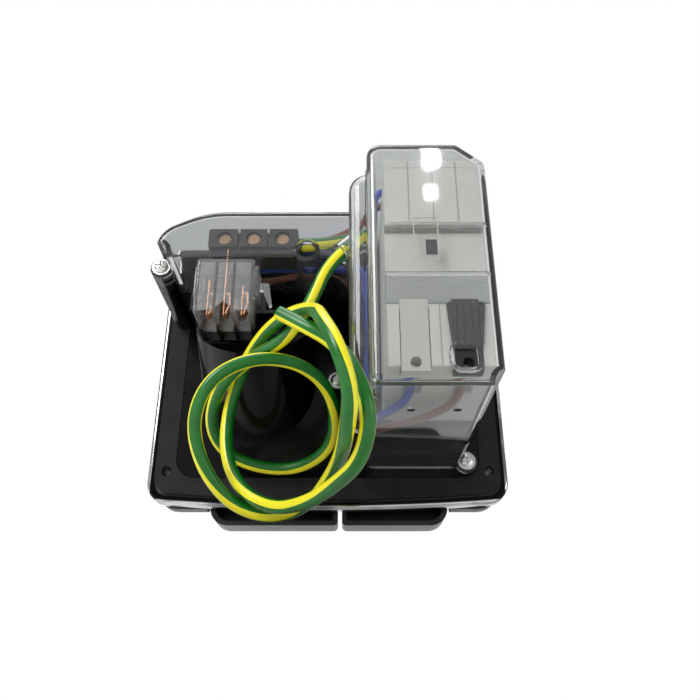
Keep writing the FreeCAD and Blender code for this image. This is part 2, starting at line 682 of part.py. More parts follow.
def make_hinge_pin(label, outer, inner):
    """The pin that carries one door."""
    low, high = door_sides(outer, inner)
    pin = cylinder(label, "hinge_pin_radius", f"{high} - ({low}) - 2 * lug_gap", f"{low} + lug_gap",
                   "-(frame_front + hinge_stand)", "hinge_z", AXIS_X)
    keep(pin, label)


def make_door_seal(label, outer, inner):
    """Soft seal inside a door's rim."""
    low, high = door_sides(outer, inner)
    body = new_body(label)
    sketch = new_sketch(body, "XZ", "-(frame_front + door_stand)")
    for inset, radius in (("seal_inset", "door_round - seal_inset"),
                          ("seal_inset + seal_wide", "door_round - seal_inset - 0.5 * seal_wide")):
        outline(sketch, box_corners(f"{low} + {inset}", f"{high} - ({inset})",
                                    f"door_low + {inset}", f"door_top - ({inset})", radius))
    extrude(body, "Pad", sketch, "seal_thick", 1)
    keep(body, label)


def band_outline(wall, inner_x, inner_low):
    """The terminal compartment in XZ: rounded end, and the hollow corner by the channel."""
    return [
        (f"band_end - ({wall})", f"band_low + ({wall})", f"end_foot_round - ({wall})"),
        (f"band_end - ({wall})", "end_turn_z", f"end_small_round - ({wall})"),
        (f"end_turn_x - 0.5 * ({wall})", f"band_top - ({wall})", f"end_large_round - ({wall})"),
        (inner_x, f"band_top - ({wall})"),
        (inner_x, inner_low),
        (f"channel_side - ({wall})", inner_low),
        (f"channel_side - ({wall})", f"band_low + ({wall})", f"corner_round + ({wall})"),
    ]


def strip_outline(gap):
    """Section in XZ of the channel's side wall and its hollow corner."""
    return [
        (f"channel_side - cover_wall - ({gap})", f"box_low - ({gap})"),
        (f"channel_side + ({gap})", f"box_low - ({gap})"),
        (f"channel_side + ({gap})", f"band_low - ({gap})", f"corner_round - ({gap})"),
        (f"channel_side + corner_round + cover_wall + ({gap})", f"band_low - ({gap})"),
        (f"channel_side + corner_round + cover_wall + ({gap})", f"band_low + cover_wall + ({gap})"),
        (f"channel_side - cover_wall - ({gap})", f"band_low + cover_wall + ({gap})",
         f"corner_round + cover_wall"),
    ]


def pot_cone(label, shrink, end):
    """The inlet's pot, or its bore, as a cone on the leaning axis."""
    cone = doc.addObject("Part::Cone", label)
    cone.setExpression("Radius1", tie(f"pot_front_radius - ({shrink})"))
    cone.setExpression("Radius2", tie(f"pot_rear_radius - ({shrink})"))
    cone.setExpression("Height", tie(f"pot_mouth + ({end})"))
    doc.recompute()
    return set_on_inlet(cone, -num("pot_mouth"))


def make_rear_housing():
    """Black moulding: flange plate, deck, channel wall, inlet pot, breaker well and screw posts."""
    body = new_body("housing_tub")
    pad_box(body, "XZ", "-gasket_thick", "plate_thick", -1,
            "-(cavity_wide / 2 - fit_gap)", "cavity_wide / 2 - fit_gap",
            "-(cavity_high / 2 - fit_gap)", "cavity_high / 2 - fit_gap", "cavity_round - fit_gap")
    for x, z in screw_places():
        sketch = new_sketch(body, "XZ", "-gasket_thick")
        circle(sketch, x, z, "screw_hole")
        extrude(body, "Pocket", sketch, "plate_thick", -1)
    pad_box(body, "XZ", "-gasket_thick", "gasket_thick", 1,
            "-(port_wide / 2 - fit_gap)", "port_wide / 2 - fit_gap",
            "-(port_high / 2 - fit_gap)", "port_high / 2 - fit_gap", "port_round - fit_gap")
    sketch = new_sketch(body, "XZ")
    outline(sketch, band_outline("0", "channel_side - cover_wall", "box_low"))
    extrude(body, "Pad", sketch, "band_front", 1)
    cut_box(body, "XZ", "-gasket_thick - plate_thick", "band_front + gasket_thick + plate_thick - cover_wall", 1,
            "channel_side + corner_round", "end_turn_x", "band_low + cover_wall",
            "band_top - 2 * cover_wall", "cover_wall")
    sketch = new_sketch(body, "XZ")
    outline(sketch, strip_outline("0"))
    extrude(body, "Pad", sketch, "seam_y", 1)
    for x, z, radius, top in (("band_end", "end_screw_z", "post_radius", "post_top"),
                              ("mid_screw_x", "mid_screw_z", "post_radius", "mid_boss"),
                              ("foot_screw_x", "foot_screw_z", "post_radius", "foot_boss")):
        sketch = new_sketch(body, "XZ")
        circle(sketch, x, z, radius)
        extrude(body, "Pad", sketch, top, 1)
    pad_box(body, "XZ", "-(frame_front - frame_wall)",
            "frame_front - frame_wall + rcbo_rear - rcbo_depth - fit_gap", 1,
            "well_left - well_wall", "well_right + well_wall",
            "well_low - well_wall", "well_top + well_wall", "well_round + well_wall")
    solid = joined("MultiFuse", "housing_solid", [body, pot_cone("pot_outside", "0", "pot_end")])
    hollow = new_body("housing_hollow")
    pad_box(hollow, "XZ", "-frame_front", "frame_front + rcbo_rear - rcbo_depth - fit_gap - well_wall",
            1, "well_left", "well_right", "well_low", "well_top", "well_round")
    pad_box(hollow, "XZ", "-frame_front", "frame_front + rcbo_rear - rcbo_depth", 1,
            "rcbo_x - rcbo_wide / 2 - rcbo_play", "rcbo_x + rcbo_wide / 2 + rcbo_play",
            "rail_z - nose_high / 2 - rcbo_play", "rail_z + nose_high / 2 + rcbo_play")
    for x, z, top in (("band_end", "end_screw_z", "post_top"), ("mid_screw_x", "mid_screw_z", "mid_boss"),
                      ("foot_screw_x", "foot_screw_z", "foot_boss")):
        screw_bore(hollow, x, z, top)
    pot_bore = pot_cone("pot_inside", "pot_wall", "pot_end - pot_wall")
    ahead = block("ahead_of_skin", "-trim_wide", "trim_wide", "-trim_wide", "-(frame_front - frame_wall)",
                  "-trim_wide", "trim_wide")
    slot = block("foot_slot", "channel_side - 2 * cover_wall", "channel_side + cover_wall",
                 "mid_boss - fit_gap", "mid_boss + ear_thick + fit_gap",
                 "mid_screw_z - foot_half - fit_gap", "mid_screw_z + foot_half + fit_gap")
    panel = block("wall_room_tool", "port_wide / 2 - fit_gap", "trim_wide", "0", "wall_room",
                  "-trim_high", "trim_high")
    keep(joined("Cut", "rear_housing", [solid, hollow, pot_bore, ahead, slot, panel]), "rear_housing")


def screw_bore(body, x, z, top):
    """The pilot hole of a cover screw, from the top of its boss."""
    sketch = new_sketch(body, "XZ", top)
    circle(sketch, x, z, "screw_shank")
    extrude(body, "Pad", sketch, "screw_long", -1)


def box_plan(wall, ahead):
    """Plan in XY of the box and the wiring channel beside it."""
    return [
        (f"box_foot + ({wall})", ahead),
        (f"box_left + ({wall})", f"box_rear - ({wall})", f"cover_round - 0.9 * ({wall})"),
        (f"box_step - ({wall})", f"box_rear - ({wall})", f"cover_round - 0.9 * ({wall})"),
        (f"box_step - ({wall})", f"channel_rear - ({wall})"),
        (f"channel_side - ({wall})", f"channel_rear - ({wall})", f"channel_round - ({wall})"),
        (f"channel_side - ({wall})", ahead),
    ]


def cut_top_corner(body, wall):
    """The cut-off corner along the box's top rear edge."""
    sketch = new_sketch(body, "YZ", "-trim_wide / 2")
    size = f"(chamfer - 0.6 * ({wall}))"
    outline(sketch, [(f"box_rear - ({wall}) - {size}", f"box_top - ({wall})"),
                     (f"box_rear - ({wall})", f"box_top - ({wall}) - {size}"),
                     (f"box_rear - ({wall}) + {size}", f"box_top - ({wall}) + {size}")])
    extrude(body, "Pocket", sketch, "trim_wide", 1)


def cover_notches(grow, end_front):
    """Cylinders behind the two outer screws, where a screwdriver passes."""
    corner = cylinder("corner_notch", f"notch_radius + ({grow})", "box_rear", "foot_screw_x - 0.6",
                      "foot_boss + fit_gap + ear_thick", "foot_screw_z - 1.2", AXIS_Y)
    end = cylinder("end_notch", f"ear_radius + ({grow})", "box_rear", "band_end", end_front,
                   "end_screw_z", AXIS_Y)
    return [corner, end]


def window_frame(label, wide, front, rear, corner):
    """Rounded square at the release window, through the box's rear wall."""
    body = new_body(label)
    pad_box(body, "XZ", front, f"{rear} - ({front})", 1,
            f"window_x - ({wide}) / 2", f"window_x + ({wide}) / 2",
            f"window_z - ({wide}) / 2", f"window_z + ({wide}) / 2", corner)
    return body


def exit_tube(label, radius, behind="exit_in"):
    """A cylinder on the axis of the earth lead's exit ring."""
    ahead = exit_direction()
    item = cylinder(label, radius, f"exit_out + {behind}", "exit_x", "exit_y", "exit_z", ahead)
    for name, part in (("x", ahead.x), ("y", ahead.y), ("z", ahead.z)):
        item.setExpression(f"Placement.Base.{name}", tie(f"exit_{name} - {behind} * {part}"))
    doc.recompute()
    return item


def exit_direction():
    """The way the earth lead leaves the cover."""
    return Vec(0.7, 0.1, -0.7).normalize()


def make_rear_cover():
    """Clear cover: breaker box, wiring channel and terminal compartment in one moulding."""
    box = new_body("cover_box")
    sketch = new_sketch(box, "XY", "box_low")
    outline(sketch, box_plan("0", "cover_foot"))
    extrude(box, "Pad", sketch, "box_top - box_low", 1)
    cut_top_corner(box, "0")
    band = new_body("cover_band")
    sketch = new_sketch(band, "XZ", "band_front")
    outline(sketch, band_outline("0", "channel_side - 3 * cover_wall",
                                 "band_low - corner_round - 2 * cover_wall"))
    extrude(band, "Pad", sketch, "band_rear - band_front", 1)
    back = num("band_rear")
    rounds(band, "Fillet", "cover_round",
           lambda edge: in_plane_y(edge, back) and middle(edge).x > num("channel_side") - 0.01)
    corner_ear = cylinder("corner_ear", "ear_radius", "ear_thick", "foot_screw_x", "foot_boss + fit_gap",
                          "foot_screw_z", AXIS_Y)
    end_ear = cylinder("end_ear", "ear_radius", "lug_top - post_top - fit_gap", "band_end",
                       "post_top + fit_gap", "end_screw_z", AXIS_Y)
    end_ear_rib = cylinder("end_ear_rib", "ear_radius", "post_top - band_front", "band_end", "band_front",
                           "end_screw_z", AXIS_Y)
    solid = joined("MultiFuse", "cover_solid", [box, band, exit_tube("exit_outside", "exit_ring"),
                                                corner_ear, end_ear, end_ear_rib])
    notched = joined("Cut", "cover_notched", [solid] + cover_notches("0", "lug_top"))
    room = new_body("cover_room")
    sketch = new_sketch(room, "XY", "box_low + cover_wall")
    outline(sketch, box_plan("cover_wall", "-cover_wall"))
    extrude(room, "Pad", sketch, "box_top - box_low - 2 * cover_wall", 1)
    cut_top_corner(room, "cover_wall")
    band_room = new_body("cover_band_room")
    sketch = new_sketch(band_room, "XZ", "band_front - cover_wall")
    outline(sketch, band_outline("cover_wall", "channel_side - 3 * cover_wall",
                                 "band_low - corner_round - cover_wall"))
    extrude(band_room, "Pad", sketch, "band_rear - band_front", 1)
    rooms = joined("Cut", "cover_rooms", [joined("MultiFuse", "rooms_whole", [room, band_room])]
                   + cover_notches("cover_wall - fit_gap", "-cover_wall"))
    ring = window_frame("window_outside", "window_size + 2 * window_ring", "box_rear - cover_wall",
                        "box_rear + window_rise", "window_round + window_ring")
    hollowed = joined("Cut", "cover_hollowed", [notched, rooms])
    whole = joined("MultiFuse", "cover_whole", [hollowed, ring] + cover_inside())
    keep(joined("Cut", "rear_cover", [whole] + cover_openings()), "rear_cover")


def cover_inside():
    """Rail form, screw well tube and the middle ear's arm, all inside the cover."""
    pieces = []
    reach = "rail_high / 2 - rail_reach"
    for side in (-1, 1):
        edges = sorted((f"rail_z + {side} * ({reach})", f"rail_z + {side} * ({reach} - rail_web)"), key=num)
        pieces.append(block("rail_form_web", "well_left", "well_right", "rail_front",
                            "box_rear - cover_wall", edges[0], edges[1]))
        edges = sorted((f"rail_z + {side} * rail_high / 2", f"rail_z + {side} * ({reach} - rail_web)"), key=num)
        pieces.append(block("rail_form_lip", "well_left", "well_right", "rail_front",
                            "rail_front + rail_lip", edges[0], edges[1]))
    pieces.append(cylinder("screw_tube", "tube_radius", "band_rear - band_front", "tube_x", "band_front",
                           "tube_z", AXIS_Y))
    inner = "channel_side - cover_wall"
    pieces.append(block("arm_rib", f"{inner} - fit_gap - cover_wall", f"{inner} - fit_gap", "mid_boss",
                        "seam_y + 2 * cover_wall", "mid_screw_z - foot_half", "mid_screw_z + foot_half"))
    pieces.append(block("arm_top", f"{inner} - fit_gap - cover_wall", "channel_side", "seam_y + fit_gap",
                        "seam_y + 2 * cover_wall", "mid_screw_z - foot_half", "mid_screw_z + foot_half"))
    pieces.append(block("arm_foot", f"{inner} - fit_gap - cover_wall", "mid_screw_x", "mid_boss",
                        "mid_boss + ear_thick", "mid_screw_z - foot_half", "mid_screw_z + foot_half"))
    pieces.append(cylinder("arm_ear", "ear_radius", "ear_thick", "mid_screw_x", "mid_boss",
                           "mid_screw_z", AXIS_Y))
    return pieces


def cover_openings():
    """Everything that is cut from the cover: screw holes, room for the housing, windows and bores."""
    tools = []
    for x, z, top in (("band_end", "end_screw_z", "lug_top"),
                      ("mid_screw_x", "mid_screw_z", "mid_boss + ear_thick"),
                      ("foot_screw_x", "foot_screw_z", "foot_boss + fit_gap + ear_thick")):
        tools.append(cylinder("cover_screw_hole", "screw_shank + fit_gap", "ear_radius + lug_top - post_top",
                              x, f"{top} - ear_radius - lug_top + post_top", z, AXIS_Y))
    tools.append(cylinder("post_room", "post_radius + fit_gap", "post_top + fit_gap", "band_end", "0",
                          "end_screw_z", AXIS_Y))
    tools.append(cylinder("foot_post_room", "post_radius + fit_gap", "foot_boss + fit_gap", "foot_screw_x",
                          "0", "foot_screw_z", AXIS_Y))
    well = new_body("well_room")
    pad_box(well, "XZ", "0", "rcbo_rear - rcbo_depth", 1, "well_left - well_wall - fit_gap",
            "well_right + well_wall + fit_gap", "well_low - well_wall - fit_gap",
            "well_top + well_wall + fit_gap", "well_round + well_wall + fit_gap")
    tools.append(well)
    strip = new_body("strip_room")
    sketch = new_sketch(strip, "XZ")
    outline(sketch, strip_outline("fit_gap"))
    extrude(strip, "Pad", sketch, "seam_y + fit_gap", 1)
    foot = block("foot_keep", "box_foot", "box_rear", "-1", "seam_y", "mid_screw_z - foot_half",
                 "mid_screw_z + foot_half")
    tools.append(joined("Cut", "strip_tool", [strip, foot]))
    side = block("near_side", "channel_side - cover_wall - fit_gap", "channel_side + 1", "-1",
                 "seam_y + fit_gap", "mid_screw_z + foot_half", "band_low - corner_round")
    tools.append(side)
    tools.append(block("near_side_high", "channel_side - cover_wall - fit_gap", "channel_side + corner_round",
                       "-1", "band_front", "band_low - corner_round - fit_gap", "band_top"))
    low_side = block("near_side_low", "channel_side - cover_wall - fit_gap", "channel_side + 1", "-1",
                     "seam_y + fit_gap", "box_low - 1", "mid_screw_z - foot_half")
    tools.append(low_side)
    tools.append(block("arm_gap", "channel_side - cover_wall - fit_gap", "channel_side + 1",
                       "mid_boss + ear_thick", "seam_y + fit_gap", "mid_screw_z - foot_half - 1",
                       "mid_screw_z + foot_half + 1"))
    tools.append(block("arm_gap_low", "channel_side - cover_wall - fit_gap", "channel_side + 1", "-1",
                       "mid_boss", "mid_screw_z - foot_half - 1", "mid_screw_z + foot_half + 1"))
    tools.append(cylinder("tube_bore_tool", "tube_bore", "band_rear", "tube_x", "band_front + tube_floor",
                          "tube_z", AXIS_Y))
    for x in ("rcbo_x - clip_pitch + 1.3", "rcbo_x + clip_pitch + 0.3"):
        tools.append(cylinder("probe_hole", "probe_radius", "3 * cover_wall", x, "probe_y",
                              "box_low - cover_wall", AXIS_Z))
    tools.append(window_frame("window_inside", "window_size", "box_rear - 2 * cover_wall",
                              "box_rear + 2 * window_rise", "window_round"))
    tools.append(exit_tube("exit_bore", "exit_hole", "2 * exit_in"))
    tools.append(block("contact_window", "conn_x - 1.5 * conn_pitch", "conn_x + 1.5 * conn_pitch",
                       "contact_front - 2 * contact_thick", "contact_front + 3 * contact_thick",
                       "band_low - cover_wall", "band_low + 2 * cover_wall"))
    return tools


def turned_screw(label, x, y, z):
    """A round-head screw whose head stands behind a level along Y."""
    head = cylinder(f"{label}_head", "screw_head", "head_high", x, y, z, AXIS_Y)
    shank = cylinder(f"{label}_shank", "screw_shank", "screw_long", x, f"{y} - screw_long", z, AXIS_Y)
    return joined("MultiFuse", label, [head, shank])


def make_cover_screws():
    """Three screws that hold the clear cover."""
    places = (("band_end", "lug_top", "end_screw_z"), ("mid_screw_x", "mid_boss + ear_thick", "mid_screw_z"),
              ("foot_screw_x", "foot_boss + fit_gap + ear_thick", "foot_screw_z"))
    keep(joined("Compound", "cover_screws", [turned_screw("cover_screw", *spot) for spot in places]),
         "cover_screws")


def make_inlet():
    """Blue inlet insert: base disc, shroud, and three pins on a circle."""
    body = revolved("insert_body", [("0", "0"), ("pot_fit", "0"), ("pot_fit", "insert_base"),
                                    ("shroud_radius + shroud_wall", "insert_base"),
                                    ("shroud_radius + shroud_wall", "insert_base + shroud_long"),
                                    ("shroud_radius", "insert_base + shroud_long"),
                                    ("shroud_radius", "insert_base"), ("0", "insert_base")])
    floor = num("pot_end - pot_wall")
    body.Placement = FreeCAD.Placement(on_inlet(floor), FreeCAD.Rotation(AXIS_Z, inlet_direction() * -1))
    doc.recompute()
    pins = []
    holes = []
    for name, angle, radius in (("pin_line", 30, "pin_radius"), ("pin_neutral", 150, "pin_radius"),
                                ("pin_earth", -90, "earth_pin_radius")):
        side = num("pin_circle") * math.cos(math.radians(angle))
        up = num("pin_circle") * math.sin(math.radians(angle))
        for label, grow, group in ((name, "0", pins), (f"{name}_hole", "hinge_play", holes)):
            item = cylinder(label, f"{radius} + {grow}", "pin_long + insert_base", "0", "0", "0", AXIS_Z)
            group.append(set_on_inlet(item, floor - num("pin_long + insert_base"), side, up))
    keep(joined("Cut", "inlet_insert", [body] + holes), "inlet_insert")
    for pin in pins:
        keep(pin, pin.Label)


def make_terminal_block():
    """Three-way terminal block inside the compartment, with its screws."""
    body = new_body("terminal_block")
    pad_box(body, "XZ", "block_front", "block_rear - block_front", 1, "block_left", "block_right",
            "block_low", "block_top", "0.5 * cover_wall")
    screws = []
    for i in (-1, 0, 1):
        x = f"(block_left + block_right) / 2 + {i} * block_pitch"
        sketch = new_sketch(body, "XZ", "block_rear")
        circle(sketch, x, "(block_low + block_top) / 2", "block_bore")
        extrude(body, "Pocket", sketch, "block_bore", -1)
        screws.append(cylinder("terminal_screw", "block_screw", "0.6 * block_bore", x, "block_rear - block_bore",
                               "(block_low + block_top) / 2", AXIS_Y))
    for i in (-0.5, 0.5):
        cut_box(body, "XZ", "block_rear", "block_bore", -1,
                f"(block_left + block_right) / 2 + {i} * block_pitch - seam",
                f"(block_left + block_right) / 2 + {i} * block_pitch + seam", "block_low", "block_top")
    for i in (-1, 1):
        x = f"(block_left + block_right) / 2 + {i} * block_pitch"
        pad_box(body, "XZ", "band_front", "block_front - band_front", 1, f"{x} - cover_wall",
                f"{x} + cover_wall", "block_top - block_foot", "block_top")
    keep(body, "terminal_block")
    keep(joined("Compound", "terminal_screws", screws), "terminal_screws")


def poles():
    """Middle of each pole of the RCBO."""
    return [f"rcbo_x + {i} * pole_pitch / 2" for i in (-1, 1)]


def make_rcbo():
    """RCBO case with rail slot, cable entries, seams and room for its lever, button and clips."""
    body = new_body("rcbo_body")
    left = "rcbo_x - rcbo_wide / 2"
    right = "rcbo_x + rcbo_wide / 2"
    front = "(rcbo_rear - rcbo_depth)"
    nose = f"({front} - nose_deep)"
    top = "(rcbo_low + rcbo_high)"
    pad_box(body, "YZ", left, "rcbo_wide", 1, front, "rcbo_rear", "rcbo_low", top, "seam")
    pad_box(body, "YZ", left, "rcbo_wide", 1, nose, f"{front} + seam", "rail_z - nose_high / 2",
            "rail_z + nose_high / 2")
    half = "(rail_high / 2 + rcbo_play)"
    cut_box(body, "YZ", left, "rcbo_wide", 1, "rail_front", "rail_front + rail_lip + rcbo_play",
            f"rail_z - {half}", f"rail_z + {half}")
    cut_box(body, "YZ", left, "rcbo_wide", 1, "rail_front", "rcbo_rear", f"rail_z - {half}",
            f"rail_z + {half} - clip_hook")
    for side in (-1, 1):
        x = f"rcbo_x + {side} * clip_pitch"
        cut_box(body, "XZ", "rcbo_rear", "clip_thick + 2 * rcbo_play", -1,
                f"{x} - clip_wide / 2 - rcbo_play", f"{x} + clip_wide / 2 + rcbo_play", "rcbo_low",
                f"rail_z - {half}")
    for x in poles():
        for low, toward in (("rcbo_low", 1), (top, -1)):
            cut_box(body, "XY", low, "entry_deep", toward, f"{x} - entry_size / 2", f"{x} + entry_size / 2",
                    "entry_y - entry_size / 2", "entry_y + entry_size / 2", "0.5 * cover_wall")
        for z in terminal_heights():
            sketch = new_sketch(body, "XZ", front)
            circle(sketch, x, z, "screw_well")
            extrude(body, "Pocket", sketch, "entry_deep + terminal_screw", 1)
    for i in (-1, 0, 1):
        x = f"rcbo_x + {i} * strip_wide"
        cut_box(body, "XZ", "rcbo_rear", "seam", -1, f"{x} - seam / 2", f"{x} + seam / 2", "rcbo_low", top)
        if i:
            cut_box(body, "XY", "rcbo_low", "seam", 1, f"{x} - seam / 2", f"{x} + seam / 2", front,
                    "rcbo_rear")
    lever = "rcbo_x + lever_off_x"
    axis_y = f"{nose} + lever_set_back"
    cut_box(body, "XZ", nose, "lever_set_back + lever_drum + rcbo_play", 1,
            f"{lever} - lever_wide / 2 - rcbo_play", f"{lever} + lever_wide / 2 + rcbo_play",
            "rail_z - lever_room", "rail_z + lever_room")
    sketch = new_sketch(body, "YZ", f"{lever} - lever_wide / 2 - axle_long")
    circle(sketch, axis_y, "rail_z", "axle_radius + hinge_play")
    extrude(body, "Pocket", sketch, "lever_wide + 2 * axle_long", 1)
    cut_box(body, "XZ", nose, "button_long - button_proud + button_travel + rcbo_play", 1,
            "button_x - button_size / 2 - rcbo_play", "button_x + button_size / 2 + rcbo_play",
            "rail_z + button_up - button_size / 2 - rcbo_play",
            "rail_z + button_up + button_size / 2 + rcbo_play")
    keep(body, "rcbo_case")


def terminal_heights():
    """Heights of the RCBO's terminal screws."""
    return ("rcbo_low + terminal_screw_in", "rcbo_low + rcbo_high - terminal_screw_in")


def make_rcbo_screws():
    """Four terminal screws of the RCBO."""
    screws = []
    for x in poles():
        for z in terminal_heights():
            screws.append(cylinder("rcbo_screw", "terminal_screw", "terminal_screw", x,
                                   "rcbo_rear - rcbo_depth + entry_deep", z, AXIS_Y))
    keep(joined("Compound", "rcbo_terminal_screws", screws), "rcbo_terminal_screws")


def make_rcbo_lever():
    """Lever: drum with two stub axles and a flat grip, built upright and leaned to its rest."""
    lever = "rcbo_x + lever_off_x"
    axis_y = "(rcbo_rear - rcbo_depth - nose_deep + lever_set_back)"
    body = new_body("rcbo_lever")
    pad_on_axis(body, f"{lever} - lever_wide / 2", "lever_wide", axis_y, "lever_drum")
    pad_on_axis(body, f"{lever} - lever_wide / 2 - axle_long + rcbo_play", "lever_wide + 2 * axle_long - 2 * rcbo_play",
                axis_y, "axle_radius")
    pad_box(body, "YZ", f"{lever} - lever_wide / 2", "lever_wide", 1, f"{axis_y} - lever_long", axis_y,
            "rail_z - lever_thick / 2", "rail_z + lever_thick / 2", "0.3 * lever_thick")
    pivot = Vec(0, num(axis_y), num("rail_z"))
    turn = FreeCAD.Rotation(AXIS_X, -num("lever_rest"))
    body.Placement = FreeCAD.Placement(pivot - turn.multVec(pivot), turn)
    doc.recompute()
    keep(body, "rcbo_lever")


def pad_on_axis(body, left, long, axis_y, radius):
    """A round pad along X on the lever's axis."""
    sketch = new_sketch(body, "YZ", left)
    circle(sketch, axis_y, "rail_z", radius)
    extrude(body, "Pad", sketch, long, 1)


def make_test_button():
    """Square test button."""
    body = new_body("rcbo_test_button")
    pad_box(body, "XZ", "rcbo_rear - rcbo_depth - nose_deep - button_proud", "button_long", 1,
            "button_x - button_size / 2", "button_x + button_size / 2",
            "rail_z + button_up - button_size / 2", "rail_z + button_up + button_size / 2", "seam")
    keep(body, "rcbo_test_button")


def make_din_clip(label, side):
    """Rail clip: flat slide with a hook over the rail form and an eye for a screwdriver."""
    x = f"rcbo_x + {side} * clip_pitch"
    body = new_body(label)
    rear = "(rcbo_rear - rcbo_play)"
    lip_edge = "rail_z - rail_high / 2"
    pad_box(body, "YZ", f"{x} - clip_wide / 2", "clip_wide", 1, f"{rear} - clip_thick", rear,
            "clip_low", f"{lip_edge} - rcbo_play")
    pad_box(body, "YZ", f"{x} - clip_wide / 2", "clip_wide", 1, "rail_front + rail_lip + rcbo_play", rear,
            "clip_low", f"{lip_edge} + clip_hook")
    sketch = new_sketch(body, "XZ", rear)
    circle(sketch, x, "window_z", "0.2 * clip_wide")
    extrude(body, "Pocket", sketch, "clip_thick", -1)
    keep(body, label)


def make_connector():
    """Output connector: clear shell and dark base with three cells, and three contact strips."""
    half = "conn_wide / 2"
    shell = new_body("connector_shell")
    pad_box(shell, "XZ", "conn_seam", "conn_rear - conn_seam", 1, f"conn_x - {half}", f"conn_x + {half}",
            "conn_low", "band_low", "seam")
    base = new_body("connector_base")
    pad_box(base, "XZ", "conn_front", "conn_seam - conn_front", 1, f"conn_x - {half}", f"conn_x + {half}",
            "conn_low", "band_low", "seam")
    for side in (-1, 1):
        edges = sorted((f"conn_x + {side} * {half}", f"conn_x + {side} * ({half} + wing_wide)"), key=num)
        pad_box(base, "XZ", "conn_seam - cover_wall", "cover_wall", 1, edges[0], edges[1],
                "conn_low + wing_high", "conn_low + 2 * wing_high")
    latch = f"conn_x - {half} - latch_off"
    pad_box(base, "XZ", "conn_seam - 2 * cover_wall", "2 * cover_wall", 1, f"{latch} - latch_thick",
            f"conn_x - {half}", "conn_low + wing_high - latch_thick", "conn_low + wing_high")
    pad_box(base, "XZ", "conn_seam - 2 * cover_wall", "2 * cover_wall", 1, f"{latch} - latch_thick", latch,
            "conn_low + wing_high - latch_thick - latch_long", "conn_low + wing_high")
    for i in (-1, 0, 1):
        x = f"conn_x + {i} * conn_pitch"
        low = f"{x} - (conn_pitch - cell_wall) / 2"
        high = f"{x} + (conn_pitch - cell_wall) / 2"
        cut_box(shell, "XZ", "conn_seam", "conn_rear - conn_wall - conn_seam", 1, low, high, "conn_low",
                "conn_low + cell_deep")
        cut_box(base, "XZ", "conn_seam", "conn_seam - conn_front - conn_wall", -1, low, high, "conn_low",
                "conn_low + cell_deep")
        tooth = new_sketch(shell, "XZ", "conn_rear")
        outline(tooth, [(low, "conn_low"), (high, "conn_low"), (x, "conn_low + tooth_high")])
        extrude(shell, "Pocket", tooth, "conn_wall", -1)
    keep(shell, "connector_shell")
    slots = []
    for i, name in ((1, "contact_neutral"), (0, "contact_earth"), (-1, "contact_line")):
        x = f"conn_x + {i} * conn_pitch"
        strip = block(name, f"{x} - contact_wide / 2", f"{x} + contact_wide / 2", "contact_front",
                      "contact_front + contact_thick", "contact_low", "contact_top")
        slots.append(block(f"{name}_slot", f"{x} - contact_wide / 2", f"{x} + contact_wide / 2",
                           "contact_front", "contact_front + contact_thick", "contact_low", "contact_top"))
        keep(strip, name)
    keep(joined("Cut", "connector_base", [base] + slots), "connector_base")


def curved_path(points, share=0.45):
    """Straight runs joined by tangent arcs, as a wire, with its length and its radii."""
    spots = [Vec(*point) for point in points]
    edges = []
    radii = []
    length = 0.0
    start = spots[0]
    for i in range(1, len(spots) - 1):
        back = spots[i - 1] - spots[i]
        ahead = spots[i + 1] - spots[i]
        turn = math.pi - back.getAngle(ahead)
        reach = share * min(back.Length, ahead.Length)
        radius = reach / math.tan(turn / 2)
        back.normalize()
        ahead.normalize()
        first = spots[i] + back * reach
        last = spots[i] + ahead * reach
        centre = spots[i] + (back + ahead).normalize() * (radius / math.cos(turn / 2))
        mid = centre + (spots[i] - centre).normalize() * radius
        edges.append(Part.LineSegment(start, first).toShape())
        edges.append(Part.Arc(first, mid, last).toShape())
        length += (first - start).Length + radius * turn
        radii.append(radius)
        start = last
    edges.append(Part.LineSegment(start, spots[-1]).toShape())
    length += (spots[-1] - start).Length
    return Part.Wire(edges), length, radii


def make_tube(label, radius, points):
    """A round tube along a path, checked by its volume."""
    size = num(radius)
    path, length, radii = curved_path(points)
    start = Vec(*points[0])
    section = Part.Wire([Part.Circle(start, Vec(*points[1]) - start, size).toShape()])
    solid = path.makePipeShell([section], True, True)
    wanted = math.pi * size * size * length
    print(f"{label}: length {length:.1f} mm, smallest radius {min(radii):.1f} mm, "
          f"volume {solid.Volume:.1f} of {wanted:.1f} mm3")
    if not solid.isValid() or abs(solid.Volume / wanted - 1) > 0.01:
        raise RuntimeError(f"{label} is not a sound tube")
    tube = doc.addObject("Part::Feature", label)
    tube.Shape = solid
    return keep(tube, label)


